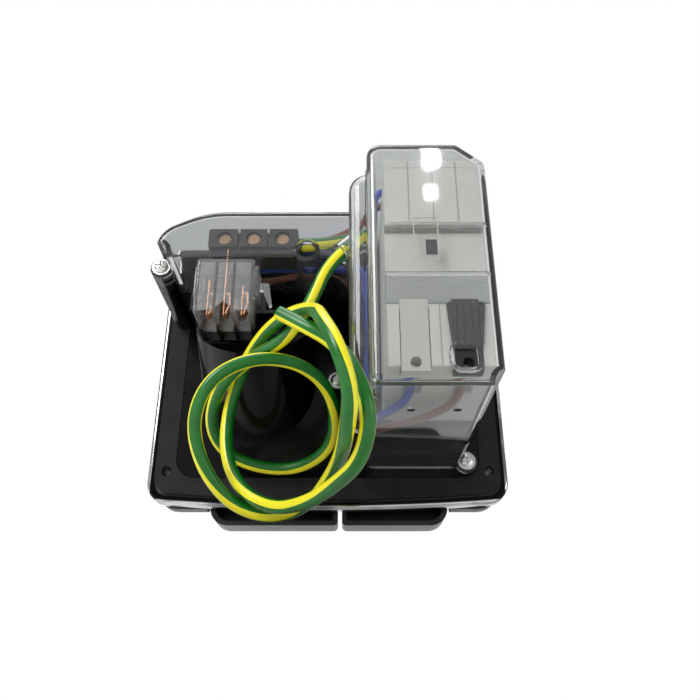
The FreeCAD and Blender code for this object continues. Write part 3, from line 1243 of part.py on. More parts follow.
WIRES = {
    "line_in_wire": [(12, 47.5, 35.6), (2, 47.5, 35.6), (-14.5, 58, 37), (-20, 72, 38.5), (-42, 74, 38.5),
                     (-49.3, 80, 38.5), (-49.3, 80, 31.5)],
    "neutral_in_wire": [(12, 43, 35.6), (0, 43, 35.6), (-17, 53, 32.5), (-19.4, 69, 32.5), (-19.4, 79, 35),
                        (-22, 80, 38.9), (-31.5, 80, 38.5), (-31.5, 80, 31.5)],
    "line_out_wire": [(-49.3, 80, -39.5), (-49.3, 80, -47.6), (-38, 60, -47.7), (-25, 51.6, -47.9),
                      (-19, 44, -47.6), (-19, 38, -42), (-19, 36, -15), (-18.6, 37.5, 8), (-15, 35.5, 20),
                      (-4, 35, 28.1), (14, 35.1, 28.1), (28, 35, 24.6), (33.7, 38, 24.3), (33.7, 45, 24.3)],
    "neutral_out_wire": [(-31.5, 80, -39.5), (-31.5, 80, -47.5), (-22, 63, -47.5), (-15.5, 50, -47.3),
                         (-15.5, 43.5, -42), (-15.7, 42, -15), (-15.9, 43, 14), (-14.5, 38.5, 28.5),
                         (-4, 35, 31.7), (38, 35.1, 31.7), (46.5, 35.2, 27), (47.7, 38.5, 24.3),
                         (47.7, 45, 24.3)],
    "earth_inner_wire": [(-8, 69, 18.5), (-15.39, 67.94, 25.89), (-15.2, 61.2, 30), (0, 53, 31.6),
                         (12, 53, 31.6)],
}

# The free end of the earth lead, from its exit ring to its bare cut end
LEAD = [
    (-8, 69, 18.5), (-1.5, 69.93, 12), (4.5, 68.5, -3.5), (14, 62, -17), (29, 54.5, -22),
    (42.5, 43.5, -28.5), (49, 28.5, -38.5), (46, 14.5, -47), (32.5, 6, -52.5), (14, 6, -54),
    (-0.5, 15, -48.5), (-4.5, 29.5, -39.5), (-1, 44.5, -29.5), (11, 57, -24.5), (28, 65, -26.5),
    (43, 66, -36), (49, 60, -51), (45, 49.5, -66.5), (33.5, 40.5, -78.5), (17, 39.5, -82),
    (3.5, 49, -77.5), (-4, 65.5, -71.5), (-7.5, 84.5, -69.5), (-9, 102.5, -68.5), (-10.5, 115, -60),
    (-6, 119, -46), (-1, 111, -33.5), (1.5, 95.5, -22.5), (7, 80.5, -14), (17, 66.5, -10.5),
    (27.5, 52.5, -14), (36, 39.5, -24), (40.5, 34, -39), (39.5, 36.5, -56.5), (32, 43.5, -72),
    (18.5, 51.5, -81), (5, 63, -81.5), (-5, 78.5, -79), (-13.5, 94.5, -75.5), (-16.5, 105, -63.5),
    (-11.5, 105.5, -48.5), (-4.5, 96.5, -35), (4.5, 88, -25.5), (15.5, 86, -18.5),
]


make_trim_ring()
make_panel_gasket()
make_front_frame()
make_rear_housing()
make_rear_cover()
make_cover_screws()
make_inlet()
make_terminal_block()
make_rcbo()
make_rcbo_screws()
make_rcbo_lever()
make_test_button()
make_din_clip("din_clip_left", 1)
make_din_clip("din_clip_right", -1)
make_connector()
for wire_name, wire_points in WIRES.items():
    make_tube(wire_name, "lead_radius" if wire_name.startswith("earth") else "wire_radius", wire_points)
make_tube("earth_lead", "lead_radius", LEAD)
for door_name, door_outer, door_inner, door_tab in (
        ("inlet_door", "inlet_door_end", "door_split + door_gap", "inlet_tab_end"),
        ("breaker_door", "breaker_door_end", "door_split - door_gap", "breaker_tab_end")):
    make_door(door_name, door_outer, door_inner, door_tab)
    make_hinge_pin(door_name.replace("door", "hinge_pin"), door_outer, door_inner)
    make_door_seal(f"{door_name}_seal", door_outer, door_inner)

for thing in doc.Objects:
    if "Invalid" in thing.State or "Error" in thing.State:
        raise RuntimeError(f"{thing.Name} is not up to date: {thing.State}")
for node_name, node_item in NODES:
    if node_item.Shape.isNull() or not node_item.Shape.isValid():
        raise RuntimeError(f"{node_name} has no sound shape")
    node_item.Shape.exportStep(f"parts/{node_name}.step")
print(f"{len(NODES)} parts")
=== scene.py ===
"""Dresses the flush power inlet with its breaker: finishes, inner wires, earth lead and studio."""
import json
import math

import bmesh
import bpy
import numpy as np
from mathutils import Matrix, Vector

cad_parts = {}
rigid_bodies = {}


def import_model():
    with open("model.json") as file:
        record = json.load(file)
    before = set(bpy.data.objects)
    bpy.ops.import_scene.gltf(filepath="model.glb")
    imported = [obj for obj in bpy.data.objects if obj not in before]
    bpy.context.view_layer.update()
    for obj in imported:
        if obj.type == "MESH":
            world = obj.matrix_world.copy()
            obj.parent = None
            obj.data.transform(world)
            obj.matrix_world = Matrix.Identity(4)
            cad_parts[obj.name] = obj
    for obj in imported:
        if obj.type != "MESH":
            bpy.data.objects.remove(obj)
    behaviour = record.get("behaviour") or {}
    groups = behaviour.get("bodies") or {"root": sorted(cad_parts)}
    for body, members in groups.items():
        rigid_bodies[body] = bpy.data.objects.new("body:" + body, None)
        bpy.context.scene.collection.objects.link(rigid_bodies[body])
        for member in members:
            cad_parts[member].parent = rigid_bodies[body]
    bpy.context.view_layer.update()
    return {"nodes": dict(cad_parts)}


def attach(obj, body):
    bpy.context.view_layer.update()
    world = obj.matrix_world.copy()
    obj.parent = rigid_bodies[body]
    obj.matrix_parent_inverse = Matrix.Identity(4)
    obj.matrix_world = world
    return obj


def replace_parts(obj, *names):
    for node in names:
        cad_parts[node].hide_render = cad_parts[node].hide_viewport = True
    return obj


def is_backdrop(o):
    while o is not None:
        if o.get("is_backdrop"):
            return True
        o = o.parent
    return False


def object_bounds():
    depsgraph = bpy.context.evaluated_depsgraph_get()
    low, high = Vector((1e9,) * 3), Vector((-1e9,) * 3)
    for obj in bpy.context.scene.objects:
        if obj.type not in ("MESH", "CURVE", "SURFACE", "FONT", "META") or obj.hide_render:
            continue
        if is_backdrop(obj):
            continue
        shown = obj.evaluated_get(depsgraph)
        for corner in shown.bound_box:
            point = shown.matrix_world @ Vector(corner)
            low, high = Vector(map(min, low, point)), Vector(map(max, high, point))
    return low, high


bl_info = {
    "name": "Power inlet dresser",
    "version": (1, 0, 0),
    "blender": (4, 5, 0),
    "location": "3D View > Sidebar > Power inlet",
    "description": "Gives the power inlet its finishes, wires, earth lead, studio and camera",
    "category": "Object",
}

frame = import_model()
NODES = frame["nodes"]
MM = 0.001

# The dressed parts' main levels, in millimetres toward the rear
WALL = 2.0
BOX_REAR = 101.0
CHANNEL_REAR = 89.0
BAND_REAR = 65.0
BREAKER_REAR = 97.0
CONNECTOR_REAR = 62.0

# Places where two pieces meet, in millimetres
EXIT_RING, EXIT_WAY = (-8, 69, 18.5), (0.7, 0.1, -0.7)
CORNER_SCREW, END_SCREW = (-61.8, -51.2), (70, 21.5)
SCREW_TUBE = (7.5, 21)
SCREW_SEATS = ((70, 51.6, 21.5), (-4, 7, -12), (-61.2, 6.3, -50))

# The trim's rear face is black within this half width and height, in metres, with a bulged upper edge
BLACK_HALF_WIDTH, BLACK_HALF_HEIGHT, BLACK_BULGE = 0.0791, 0.0677, 0.52

# The trim's black begins between these levels, in metres
BLACK_LOW, BLACK_HIGH = -0.0034, -0.0028

# Sides of every round rod and hole
ROD_SIDES = 40

# Light that one surface of clear plastic lets through to what lies inside
CLEAR_PASSING = (0.96, 0.96, 0.96)

# Lamps: name, place in metres, side in metres, power in watts
LAMPS = (
    ("key", (0.5, 0.62, 0.4), 0.4, 5.0),
    ("fill", (-0.7, 0.45, -0.15), 0.5, 3.0),
    ("top", (0.1, 0.15, 0.9), 0.5, 4.0),
    ("front", (-0.2, -0.7, 0.4), 0.5, 4.0),
    ("rear", (0.15, 0.95, -0.35), 0.5, 7.5),
    ("glint_high", (-0.125, 0.71, 0.551), 0.026, 0.12),
    ("glint_low", (-0.125, 0.732, 0.506), 0.018, 0.06),
)
LAMP_TARGET = (0, 0.04, 0)

# The free end of the earth lead, in millimetres, from its exit ring to its cut end
LEAD_ROUTE = [
    (-8, 69, 18.5), (-1.5, 69.93, 12), (4.5, 68.5, -3.5), (14, 62, -17), (29, 54.5, -22),
    (42.5, 43.5, -28.5), (49, 28.5, -38.5), (46, 14.5, -47), (32.5, 6, -52.5), (14, 6, -54),
    (-0.5, 15, -48.5), (-4.5, 29.5, -39.5), (-1, 44.5, -29.5), (11, 57, -24.5), (28, 65, -26.5),
    (43, 66, -36), (49, 60, -51), (45, 49.5, -66.5), (33.5, 40.5, -78.5), (17, 39.5, -82),
    (3.5, 49, -77.5), (-4, 65.5, -71.5), (-7.5, 84.5, -69.5), (-9, 102.5, -68.5), (-10.5, 115, -60),
    (-6, 119, -46), (-1, 111, -33.5), (1.5, 95.5, -22.5), (7, 80.5, -14), (17, 66.5, -10.5),
    (27.5, 52.5, -14), (36, 39.5, -24), (40.5, 34, -39), (39.5, 36.5, -56.5), (32, 43.5, -72),
    (18.5, 51.5, -81), (5, 63, -81.5), (-5, 78.5, -79), (-13.5, 94.5, -75.5), (-16.5, 105, -63.5),
    (-11.5, 105.5, -48.5), (-4.5, 96.5, -35), (4.5, 88, -25.5), (15.5, 86, -18.5),
]

# Where the lead's stripes face: travel in millimetres, then degrees from the side that the camera sees
STRIPE_KEYS = [
    (0, 24), (18, 10), (36, -10), (48, -60), (80, -105), (100, -105), (128, -125), (144, -125), (152, -135),
    (160, -142), (168, -150), (176, -160), (184, -175), (192, -205), (200, -225), (208, -240), (232, -270),
    (272, -270), (288, -295), (296, -310), (304, -322), (312, -330), (324, -340), (352, -410), (368, -423),
    (384, -445), (392, -452), (400, -470), (408, -482), (416, -490), (424, -500), (432, -505), (440, -510),
    (464, -495), (480, -485), (504, -480), (536, -480), (552, -490), (560, -495), (568, -500), (576, -507),
    (584, -530), (592, -548), (600, -554), (608, -562), (616, -575), (624, -585), (640, -600), (672, -612),
    (700, -605), (729, -598),
]

# The wires inside the housing, in millimetres
INNER_ROUTES = {
    "line_in_wire": [(12, 47.5, 35.6), (2, 47.5, 35.6), (-14.5, 58, 37), (-20, 72, 38.5), (-42, 74, 38.5),
                     (-49.3, 80, 38.5), (-49.3, 80, 31.5)],
    "neutral_in_wire": [(12, 43, 35.6), (0, 43, 35.6), (-17, 53, 32.5), (-19.4, 69, 32.5), (-19.4, 79, 35),
                        (-22, 80, 38.9), (-31.5, 80, 38.5), (-31.5, 80, 31.5)],
    "line_out_wire": [(-49.3, 80, -39.5), (-49.3, 80, -47.6), (-38, 60, -47.7), (-25, 51.6, -47.9),
                      (-19, 44, -47.6), (-19, 38, -42), (-19, 36, -15), (-18.6, 37.5, 8), (-15, 35.5, 20),
                      (-4, 35, 28.1), (14, 35.1, 28.1), (28, 35, 24.6), (33.7, 38, 24.3), (33.7, 45, 24.3)],
    "neutral_out_wire": [(-31.5, 80, -39.5), (-31.5, 80, -47.5), (-22, 63, -47.5), (-15.5, 50, -47.3),
                         (-15.5, 43.5, -42), (-15.7, 42, -15), (-15.9, 43, 14), (-14.5, 38.5, 28.5),
                         (-4, 35, 31.7), (38, 35.1, 31.7), (46.5, 35.2, 27), (47.7, 38.5, 24.3),
                         (47.7, 45, 24.3)],
    "earth_inner_wire": [(-8, 69, 18.5), (-15.39, 67.94, 25.89), (-15.2, 61.2, 30), (0, 53, 31.6),
                         (12, 53, 31.6)],
}


def metres(points):
    """Points in millimetres as an array in metres."""
    return np.array(points, float) * MM


class Value:
    """One shader socket that takes part in Python sums."""

    def __init__(self, finish, socket):
        self.finish = finish
        self.socket = socket

    def sum_with(self, operation, first, second=None):
        inputs = [first] if second is None else [first, second]
        return self.finish.node("ShaderNodeMath", {"operation": operation}, dict(enumerate(inputs)))

    def __add__(self, other):
        return self.sum_with("ADD", self, other)

    def __sub__(self, other):
        return self.sum_with("SUBTRACT", self, other)

    def __rsub__(self, other):
        return self.sum_with("SUBTRACT", other, self)

    def __mul__(self, other):
        return self.sum_with("MULTIPLY", self, other)

    def __pow__(self, other):
        return self.sum_with("POWER", self, other)

    def least(self, other):
        return self.sum_with("MINIMUM", self, other)

    def most(self, other):
        return self.sum_with("MAXIMUM", self, other)

    def size(self):
        return self.sum_with("ABSOLUTE", self)

    def step(self, low, high):
        """0 below low, 1 above high, and a smooth rise between."""
        settings = {"interpolation_type": "SMOOTHSTEP"}
        return self.finish.node("ShaderNodeMapRange", settings, {0: self, 1: low, 2: high})


class Finish:
    """One material, built as a shader tree round a Principled shader."""

    def __init__(self, name):
        self.material = bpy.data.materials.new(name)
        self.material.use_nodes = True
        self.tree = self.material.node_tree
        self.tree.nodes.clear()
        self.output = self.tree.nodes.new("ShaderNodeOutputMaterial")
        self.shader = self.tree.nodes.new("ShaderNodeBsdfPrincipled")
        self.tree.links.new(self.shader.outputs[0], self.output.inputs[0])

    def feed(self, socket, value):
        """Links a Value to a socket, or sets the socket to a number or colour."""
        if isinstance(value, Value):
            self.tree.links.new(value.socket, socket)
        elif hasattr(value, "__len__") and socket.type == "RGBA" and len(value) == 3:
            socket.default_value = (*value, 1.0)
        else:
            socket.default_value = value

    def node(self, kind, settings=None, values=None, output=0):
        """Adds one node: its settings first, then the values or links of its sockets."""
        node = self.tree.nodes.new(kind)
        for name, setting in (settings or {}).items():
            setattr(node, name, setting)
        for name, value in (values or {}).items():
            self.feed(node.inputs[name], value)
        return Value(self, node.outputs[output])

    def place(self, which="Object"):
        return self.node("ShaderNodeTexCoord", output=which)

    def noise(self, scale, detail=3.0, roughness=0.5, at=None):
        """Fractal noise; the scale is in features per metre."""
        values = {"Vector": at or self.place(), "Scale": scale, "Detail": detail, "Roughness": roughness}
        return self.node("ShaderNodeTexNoise", values=values)

    def cells(self, scale):
        """Distance to the nearest of scattered points; the scale is in cells per metre."""
        values = {"Vector": self.place(), "Scale": scale}
        return self.node("ShaderNodeTexVoronoi", {"feature": "F1"}, values)

    def parts(self, vector):
        """The three parts of a vector."""
        node = self.tree.nodes.new("ShaderNodeSeparateXYZ")
        self.feed(node.inputs[0], vector)
        return [Value(self, socket) for socket in node.outputs]

    def blend(self, share, first, second):
        """Mix of two colours."""
        settings = {"data_type": "RGBA"}
        return self.node("ShaderNodeMix", settings, {0: share, 6: first, 7: second}, output=2)

    def bump(self, height, depth, strength=1.0):
        """Normal from a height between 0 and 1, with its depth in metres."""
        values = {"Height": height, "Distance": depth, "Strength": strength}
        return self.node("ShaderNodeBump", values=values)

    def set(self, **values):
        """Sets or links the Principled shader's sockets; an underscore stands for a space."""
        for name, value in values.items():
            self.feed(self.shader.inputs[name.replace("_", " ")], value)

    def through(self, share, second):
        """Mixes the Principled shader with another one."""
        node = self.tree.nodes.new("ShaderNodeMixShader")
        self.feed(node.inputs[0], share)
        self.tree.links.new(self.shader.outputs[0], node.inputs[1])
        self.tree.links.new(second.socket, node.inputs[2])
        self.tree.links.new(node.outputs[0], self.output.inputs[0])


def linear(colour):
    """A screen colour from 0 to 255 as linear light."""
    share = np.array(colour, float) / 255
    light = np.where(share < 0.04045, share / 12.92, ((share + 0.055) / 1.055) ** 2.4)
    return tuple(float(v) for v in light)


def scaled(colour, share):
    """A colour made darker or lighter by a share."""
    return tuple(v * share for v in colour)


def moulded(name, colour, gloss=0.4, grain=0.00002, spread=0.12, dust=0.0, shine=0.5):
    """Moulded plastic: uneven tone, fine grain, rubbed patches and a little dust."""
    finish = Finish(name)
    tone = finish.noise(35, 4)
    light = tuple(min(v, 1) for v in scaled(colour, 1 + spread))
    base = finish.blend(tone.step(0.3, 0.7), scaled(colour, 1 - spread), light)
    if dust:
        specks = finish.cells(900).step(0.09, 0.05) * finish.noise(60, 2).step(0.5, 0.62)
        base = finish.blend(specks * dust, base, linear((190, 188, 180)))
    rubbed = finish.noise(90, 5, 0.6)
    height = finish.noise(5500, 2) * 0.7 + finish.noise(1400, 3) * 0.3
    finish.set(Base_Color=base, Roughness=rubbed * 0.16 + (gloss - 0.08), IOR=1.5,
               Specular_IOR_Level=shine, Normal=finish.bump(height, grain))
    return finish.material


def bright_metal(name, colour, rough=0.16, brushed=0.0, painted_reflection_streaks=0.0):
    """Plated or bare metal with faint stains and fine scratches; the streaks, for the bright trim, are dark
    bands of painted reflection.
    """
    finish = Finish(name)
    x, y, z = finish.parts(finish.place())
    along = finish.node("ShaderNodeCombineXYZ", values={0: x * 6, 1: y * 60, 2: z * 6})
    scratch = finish.noise(400, 4, 0.7, at=along)
    stain = finish.noise(60, 4)
    base = finish.blend(stain.step(0.35, 0.7), scaled(colour, 0.82), colour)
    if painted_reflection_streaks:
        # The trim's dark streaks are painted reflection: bands of its colour darkened as if it mirrored a
        # dark room.
        across = finish.node("ShaderNodeCombineXYZ", values={0: x, 1: y * 9, 2: z})
        band = finish.noise(30, 3, 0.6, at=across)
        bulge = BLACK_HALF_HEIGHT - x * x * BLACK_BULGE
        inner = (BLACK_HALF_WIDTH - x.size()).least(bulge - z.size()).step(-0.0001, 0.0002)
        base = finish.blend(band.step(0.42, 0.6) * painted_reflection_streaks, base, (0.09, 0.09, 0.10))
        base = finish.blend(inner * y.step(BLACK_LOW, BLACK_HIGH), base, (0.012, 0.012, 0.013))
    finish.set(Base_Color=base, Metallic=1.0, Roughness=stain * 0.12 + scratch * brushed + (rough - 0.05),
               Normal=finish.bump(scratch, 0.00001 + 0.00002 * brushed))
    return finish.material


def foam(name, colour):
    """Closed-cell foam: matte, with small cells and skin wrinkles."""
    finish = Finish(name)
    cell = finish.cells(1500)
    tone = finish.noise(120, 4)
    base = finish.blend(tone.step(0.3, 0.75), scaled(colour, 0.75), scaled(colour, 1.25))
    height = cell * 0.6 + finish.noise(300, 4) * 0.4
    finish.set(Base_Color=base, Roughness=tone * 0.15 + 0.72, Specular_IOR_Level=0.25,
               Normal=finish.bump(height, 0.00016))
    return finish.material


def clear_plastic(name, tint, edge, rough=0.02, haze_share=0.0):
    """Clear moulded plastic: see-through, with painted shade towards grazing angles for its dark edges, and
    open to light from the lamps.
    """
    finish = Finish(name)
    flow = finish.noise(26, 3)
    # The edge colour, mixed in towards grazing angles, is painted shade for the plastic's dark edges.
    facing = finish.node("ShaderNodeLayerWeight", values={"Blend": 0.35}, output="Facing")
    base = finish.blend((facing ** 3.0) * 0.85, tint, edge)
    haze = finish.noise(140, 4, 0.6)
    finish.set(Base_Color=base, Transmission_Weight=1.0 - haze_share, IOR=1.49,
               Roughness=haze * 0.03 + (rough - 0.01), Normal=finish.bump(flow, 0.0002, 0.25))
    shadow = finish.node("ShaderNodeLightPath", output="Is Shadow Ray")
    diffuse = finish.node("ShaderNodeLightPath", output="Is Diffuse Ray")
    passing = finish.node("ShaderNodeBsdfTransparent", values={"Color": CLEAR_PASSING})
    finish.through(shadow.most(diffuse), passing)
    return finish.material


def striped_insulation(name, green, yellow, share):
    """Green insulation with two opposite yellow stripes; the UV map's U goes once round the lead."""
    finish = Finish(name)
    u = finish.parts(finish.place("UV"))[0]
    ragged = finish.noise(900, 2) * 0.012
    around = (u * 2.0).sum_with("FRACT", u * 2.0)
    from_middle = (around - 0.5).size() + ragged
    stripe = 1 - from_middle.step(share / 2 - 0.004, share / 2 + 0.012)
    tone = finish.noise(160, 4)
    leaf = finish.blend(tone.step(0.3, 0.7), scaled(green, 0.85), scaled(green, 1.15))
    sun = finish.blend(tone.step(0.3, 0.7), scaled(yellow, 0.93), yellow)
    height = finish.noise(1600, 3) * 0.6 + finish.noise(260, 3) * 0.4
    finish.set(Base_Color=finish.blend(stripe, leaf, sun), Roughness=tone * 0.12 + 0.28,
               Normal=finish.bump(height, 0.00006), Coat_Weight=0.12, Coat_Roughness=0.2)
    return finish.material


def smooth_by_angle(node, angle=32):
    """Joins a CAD node's loose triangles for shading and splits it at its real edges."""
    mesh = node.data
    mesh.polygons.foreach_set("use_smooth", np.ones(len(mesh.polygons), bool))
    weld = node.modifiers.new("weld", "WELD")
    weld.merge_threshold = 0.002 * MM
    split = node.modifiers.new("split", "EDGE_SPLIT")
    split.split_angle = math.radians(angle)


def dress(names, material, angle=32):
    """Gives CAD nodes one material and smooth shading."""
    for name in names:
        node = NODES[name]
        node.data.materials.clear()
        node.data.materials.append(material)
        smooth_by_angle(node, angle)


def rounded(*corners, steps=6):
    """Outline through corners (across, up[, radius]), with an arc of that radius at each corner."""
    loop = []
    spots = [np.array(corner[:2], float) for corner in corners]
    for i, corner in enumerate(corners):
        radius = corner[2] if len(corner) > 2 else 0
        if not radius:
            loop.append(spots[i])
            continue
        back = spots[i - 1] - spots[i]
        ahead = spots[(i + 1) % len(spots)] - spots[i]
        back, ahead = back / np.linalg.norm(back), ahead / np.linalg.norm(ahead)
        half = math.acos(float(np.clip(back @ ahead, -1, 1))) / 2
        bisector = (back + ahead) / np.linalg.norm(back + ahead)
        centre = spots[i] + bisector * radius / math.sin(half)
        first = spots[i] + back * radius / math.tan(half) - centre
        turn = np.linspace(0, math.pi - 2 * half, steps + 1)
        sense = np.sign(first[0] * (spots[i] - centre)[1] - first[1] * (spots[i] - centre)[0])
        cos, sin = np.cos(turn), np.sin(turn) * sense
        loop.extend(np.column_stack([centre[0] + first[0] * cos - first[1] * sin,
                                     centre[1] + first[0] * sin + first[1] * cos]))
    return np.array(loop)


def ring_mesh(name, rings):
    """Closed mesh through equal rings of points (rings, points, 3), in millimetres, with flat ends."""
    rings = np.asarray(rings, float) * MM
    count, size = rings.shape[:2]
    row, column = np.meshgrid(np.arange(count - 1), np.arange(size), indexing="ij")
    after = (column + 1) % size
    quads = np.stack([row * size + column, row * size + after, (row + 1) * size + after,
                      (row + 1) * size + column], axis=-1).reshape(-1, 4)
    ends = [list(range(size))[::-1], list(range((count - 1) * size, count * size))]
    mesh = bpy.data.meshes.new(name)
    mesh.from_pydata(rings.reshape(-1, 3).tolist(), [], quads.tolist() + ends)
    shell = bmesh.new()
    shell.from_mesh(mesh)
    bmesh.ops.recalc_face_normals(shell, faces=shell.faces)
    shell.to_mesh(mesh)
    shell.free()
    return mesh


def soft_prism(name, loop, low, high, round_high=0.0, round_low=0.0, axis="Y"):
    """An outline swept from low to high, each end rounded by a quarter circle of its radius."""
    before, after = np.roll(loop, 1, axis=0), np.roll(loop, -1, axis=0)
    along = after - before
    along /= np.linalg.norm(along, axis=1)[:, None]
    area = 0.5 * np.sum(loop[:, 0] * after[:, 1] - after[:, 0] * loop[:, 1])
    inward = np.column_stack([-along[:, 1], along[:, 0]]) * np.sign(area)
    steps = []
    quarter = np.linspace(0, math.pi / 2, 5)
    if round_low:
        steps += [(round_low * (1 - math.sin(a)), low + round_low * (1 - math.cos(a))) for a in quarter]
    else:
        steps.append((0, low))
    if round_high:
        steps += [(round_high * (1 - math.cos(a)), high - round_high * (1 - math.sin(a))) for a in quarter]
    else:
        steps.append((0, high))
    levels = []
    for inset, level in steps:
        flat = loop + inward * inset
        height = np.full(len(flat), level)
        order = {"Y": (flat[:, 0], height, flat[:, 1]), "Z": (flat[:, 0], flat[:, 1], height)}[axis]
        levels.append(np.column_stack(order))
    return ring_mesh(name, levels)


def block(name, x, y, z, edge=0.0):
    """A box with its edges along Y and its rear edges rounded."""
    corners = [(x[i], z[j], edge) for i, j in ((0, 0), (1, 0), (1, 1), (0, 1))]
    loop = rounded(*corners, steps=3)
    return soft_prism(name, loop, y[0], y[1], edge)


def rod(name, centre, radius, low, high, axis="Y", round_high=0.0, direction=None):
    """A round rod along an axis, or about its centre along a direction."""
    turn = np.linspace(0, 2 * math.pi, ROD_SIDES, endpoint=False)
    circle = np.column_stack([np.cos(turn), np.sin(turn)]) * radius
    if direction is None:
        return soft_prism(name, circle + np.array(centre), low, high, round_high, axis=axis)
    mesh = soft_prism(name, circle, low, high, round_high, axis="Z")
    ahead = Vector(direction).to_track_quat("Z", "Y").to_matrix().to_4x4()
    ahead.translation = Vector(centre) * MM
    mesh.transform(ahead)
    return mesh


def carve(name, first, steps):
    """Joins closed meshes to the first one (+) or cuts them away (-), in order."""
    scene = bpy.context.scene.collection.objects
    carrier = bpy.data.objects.new(name, first)
    scene.link(carrier)
    helpers = []
    for sign, mesh in steps:
        tool = bpy.data.objects.new(mesh.name, mesh)
        scene.link(tool)
        helpers.append(tool)
        cut = carrier.modifiers.new("carve", "BOOLEAN")
        cut.operation = {"+": "UNION", "-": "DIFFERENCE"}[sign]
        cut.solver = "MANIFOLD"
        cut.object = tool
    graph = bpy.context.evaluated_depsgraph_get()
    result = bpy.data.meshes.new_from_object(carrier.evaluated_get(graph))
    for tool in helpers + [carrier]:
        mesh = tool.data
        bpy.data.objects.remove(tool)
        bpy.data.meshes.remove(mesh)
    result.name = name
    result.materials.clear()
    result.polygons.foreach_set("material_index", np.zeros(len(result.polygons), np.int32))
    return result


def shade_by_angle(piece, angle=32):
    """Smooth faces, split where they meet at a real edge."""
    piece.data.polygons.foreach_set("use_smooth", np.ones(len(piece.data.polygons), bool))
    split = piece.modifiers.new("split", "EDGE_SPLIT")
    split.split_angle = math.radians(angle)
    flat = piece.modifiers.new("flat", "WEIGHTED_NORMAL")
    flat.weight = 100


def route_curve(name, points):
    """A NURBS curve of order 3 with these control points, in metres."""
    curve = bpy.data.curves.new(name, "CURVE")
    curve.dimensions = "3D"
    curve.resolution_u = 24
    spline = curve.splines.new("NURBS")
    spline.points.add(len(points) - 1)
    spline.points.foreach_set("co", np.column_stack([points, np.ones(len(points))]).ravel())
    spline.order_u = 3
    spline.use_endpoint_u = True
    return bpy.data.objects.new(name, curve)


def travelled(line):
    """Length along a line at each of its points."""
    return np.concatenate([[0], np.cumsum(np.linalg.norm(np.diff(line, axis=0), axis=1))])


def along_route(name, points, pitch=1.0 * MM):
    """Evenly spaced points read from the route's NURBS curve."""
    carrier = route_curve(name, metres(points))
    bpy.context.scene.collection.objects.link(carrier)
    graph = bpy.context.evaluated_depsgraph_get()
    mesh = bpy.data.meshes.new_from_object(carrier.evaluated_get(graph))
    line = np.zeros(len(mesh.vertices) * 3)
    mesh.vertices.foreach_get("co", line)
    line = line.reshape(-1, 3)
    bpy.data.objects.remove(carrier)
    bpy.data.meshes.remove(mesh)
    travel = travelled(line)
    stations = np.linspace(0, travel[-1], max(int(travel[-1] / pitch), 8))
    return np.column_stack([np.interp(stations, travel, line[:, axis]) for axis in range(3)])


def carried_frames(line):
    """Tangents and two normals along a line, turned so that they don't spin about it."""
    tangent = np.gradient(line, axis=0)
    tangent /= np.linalg.norm(tangent, axis=1)[:, None]
    helper = np.array([0.37, 0.61, 0.70])
    first = helper - (tangent @ helper)[:, None] * tangent
    first /= np.linalg.norm(first, axis=1)[:, None]
    second = np.cross(tangent, first)
    change = np.diff(first, axis=0)
    between = (second[1:] + second[:-1]) / 2
    spin = np.concatenate([[0], np.cumsum((change * between).sum(1))])
    cos, sin = np.cos(spin)[:, None], np.sin(spin)[:, None]
    return tangent, cos * first - sin * second, sin * first + cos * second


def stripe_twist(line):
    """Turn of the tube at each point, so that its stripes face as the keys say."""
    tangent, normal, side = carried_frames(line)
    toward = np.array(sizes().camera_place) - line
    toward -= (toward * tangent).sum(1)[:, None] * tangent
    facing = np.unwrap(np.arctan2((toward * side).sum(1), (toward * normal).sum(1)))
    travel = travelled(line) / MM
    keys = np.array(STRIPE_KEYS, float)
    smooth = np.interp(travel, keys[:, 0], np.radians(keys[:, 1]))
    window = np.ones(9) / 9
    smooth = np.convolve(np.pad(smooth, 4, mode="edge"), window, mode="valid")
    return facing + smooth - math.pi / 2


def tube_mesh(name, line, radius, sides, twist=None):
    """A round tube carried along a line: line + radius (cos a N + sin a B), closed by flat ends."""
    _, normal, side = carried_frames(line)
    count = len(line)
    angles = np.linspace(0, 2 * math.pi, sides + 1)[None, :] + (0 if twist is None else twist[:, None])
    ring = np.cos(angles)[..., None] * normal[:, None] + np.sin(angles)[..., None] * side[:, None]
    places = line[:, None] + radius * ring
    closed = places[:, :sides].reshape(-1, 3)
    closed = np.vstack([closed, line[:1], line[-1:]])
    row, column = np.meshgrid(np.arange(count - 1), np.arange(sides), indexing="ij")
    after = (column + 1) % sides
    quads = np.stack([row * sides + column, row * sides + after, (row + 1) * sides + after,
                      (row + 1) * sides + column], axis=-1).reshape(-1, 4)
    turn = np.arange(sides)
    start = np.column_stack([np.full(sides, count * sides), (turn + 1) % sides, turn])
    last = (count - 1) * sides
    end = np.column_stack([np.full(sides, count * sides + 1), last + turn, last + (turn + 1) % sides])
    mesh = bpy.data.meshes.new(name)
    mesh.from_pydata(closed.tolist(), [], quads.tolist() + start.tolist() + end.tolist())
    travel = travelled(line)
    u_low, v_low = column.ravel() / sides, travel[row.ravel()]
    u_high, v_high = (column.ravel() + 1) / sides, travel[row.ravel() + 1]
    quad_uv = np.stack([u_low, v_low, u_high, v_low, u_high, v_high, u_low, v_high], axis=-1).ravel()
    end_uv = np.zeros(sides * 2 * 3 * 2)
    mesh.uv_layers.new(name="wrap").data.foreach_set("uv", np.concatenate([quad_uv, end_uv]))
    mesh.polygons.foreach_set("use_smooth", np.arange(len(mesh.polygons)) < len(quads))
    mesh.update()
    return mesh


def new_piece(name, mesh, material, body="root"):
    """A finished piece of the object that rides on a body."""
    piece = bpy.data.objects.new(name, mesh)
    bpy.context.scene.collection.objects.link(piece)
    piece.data.materials.append(material)
    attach(piece, body)
    return piece


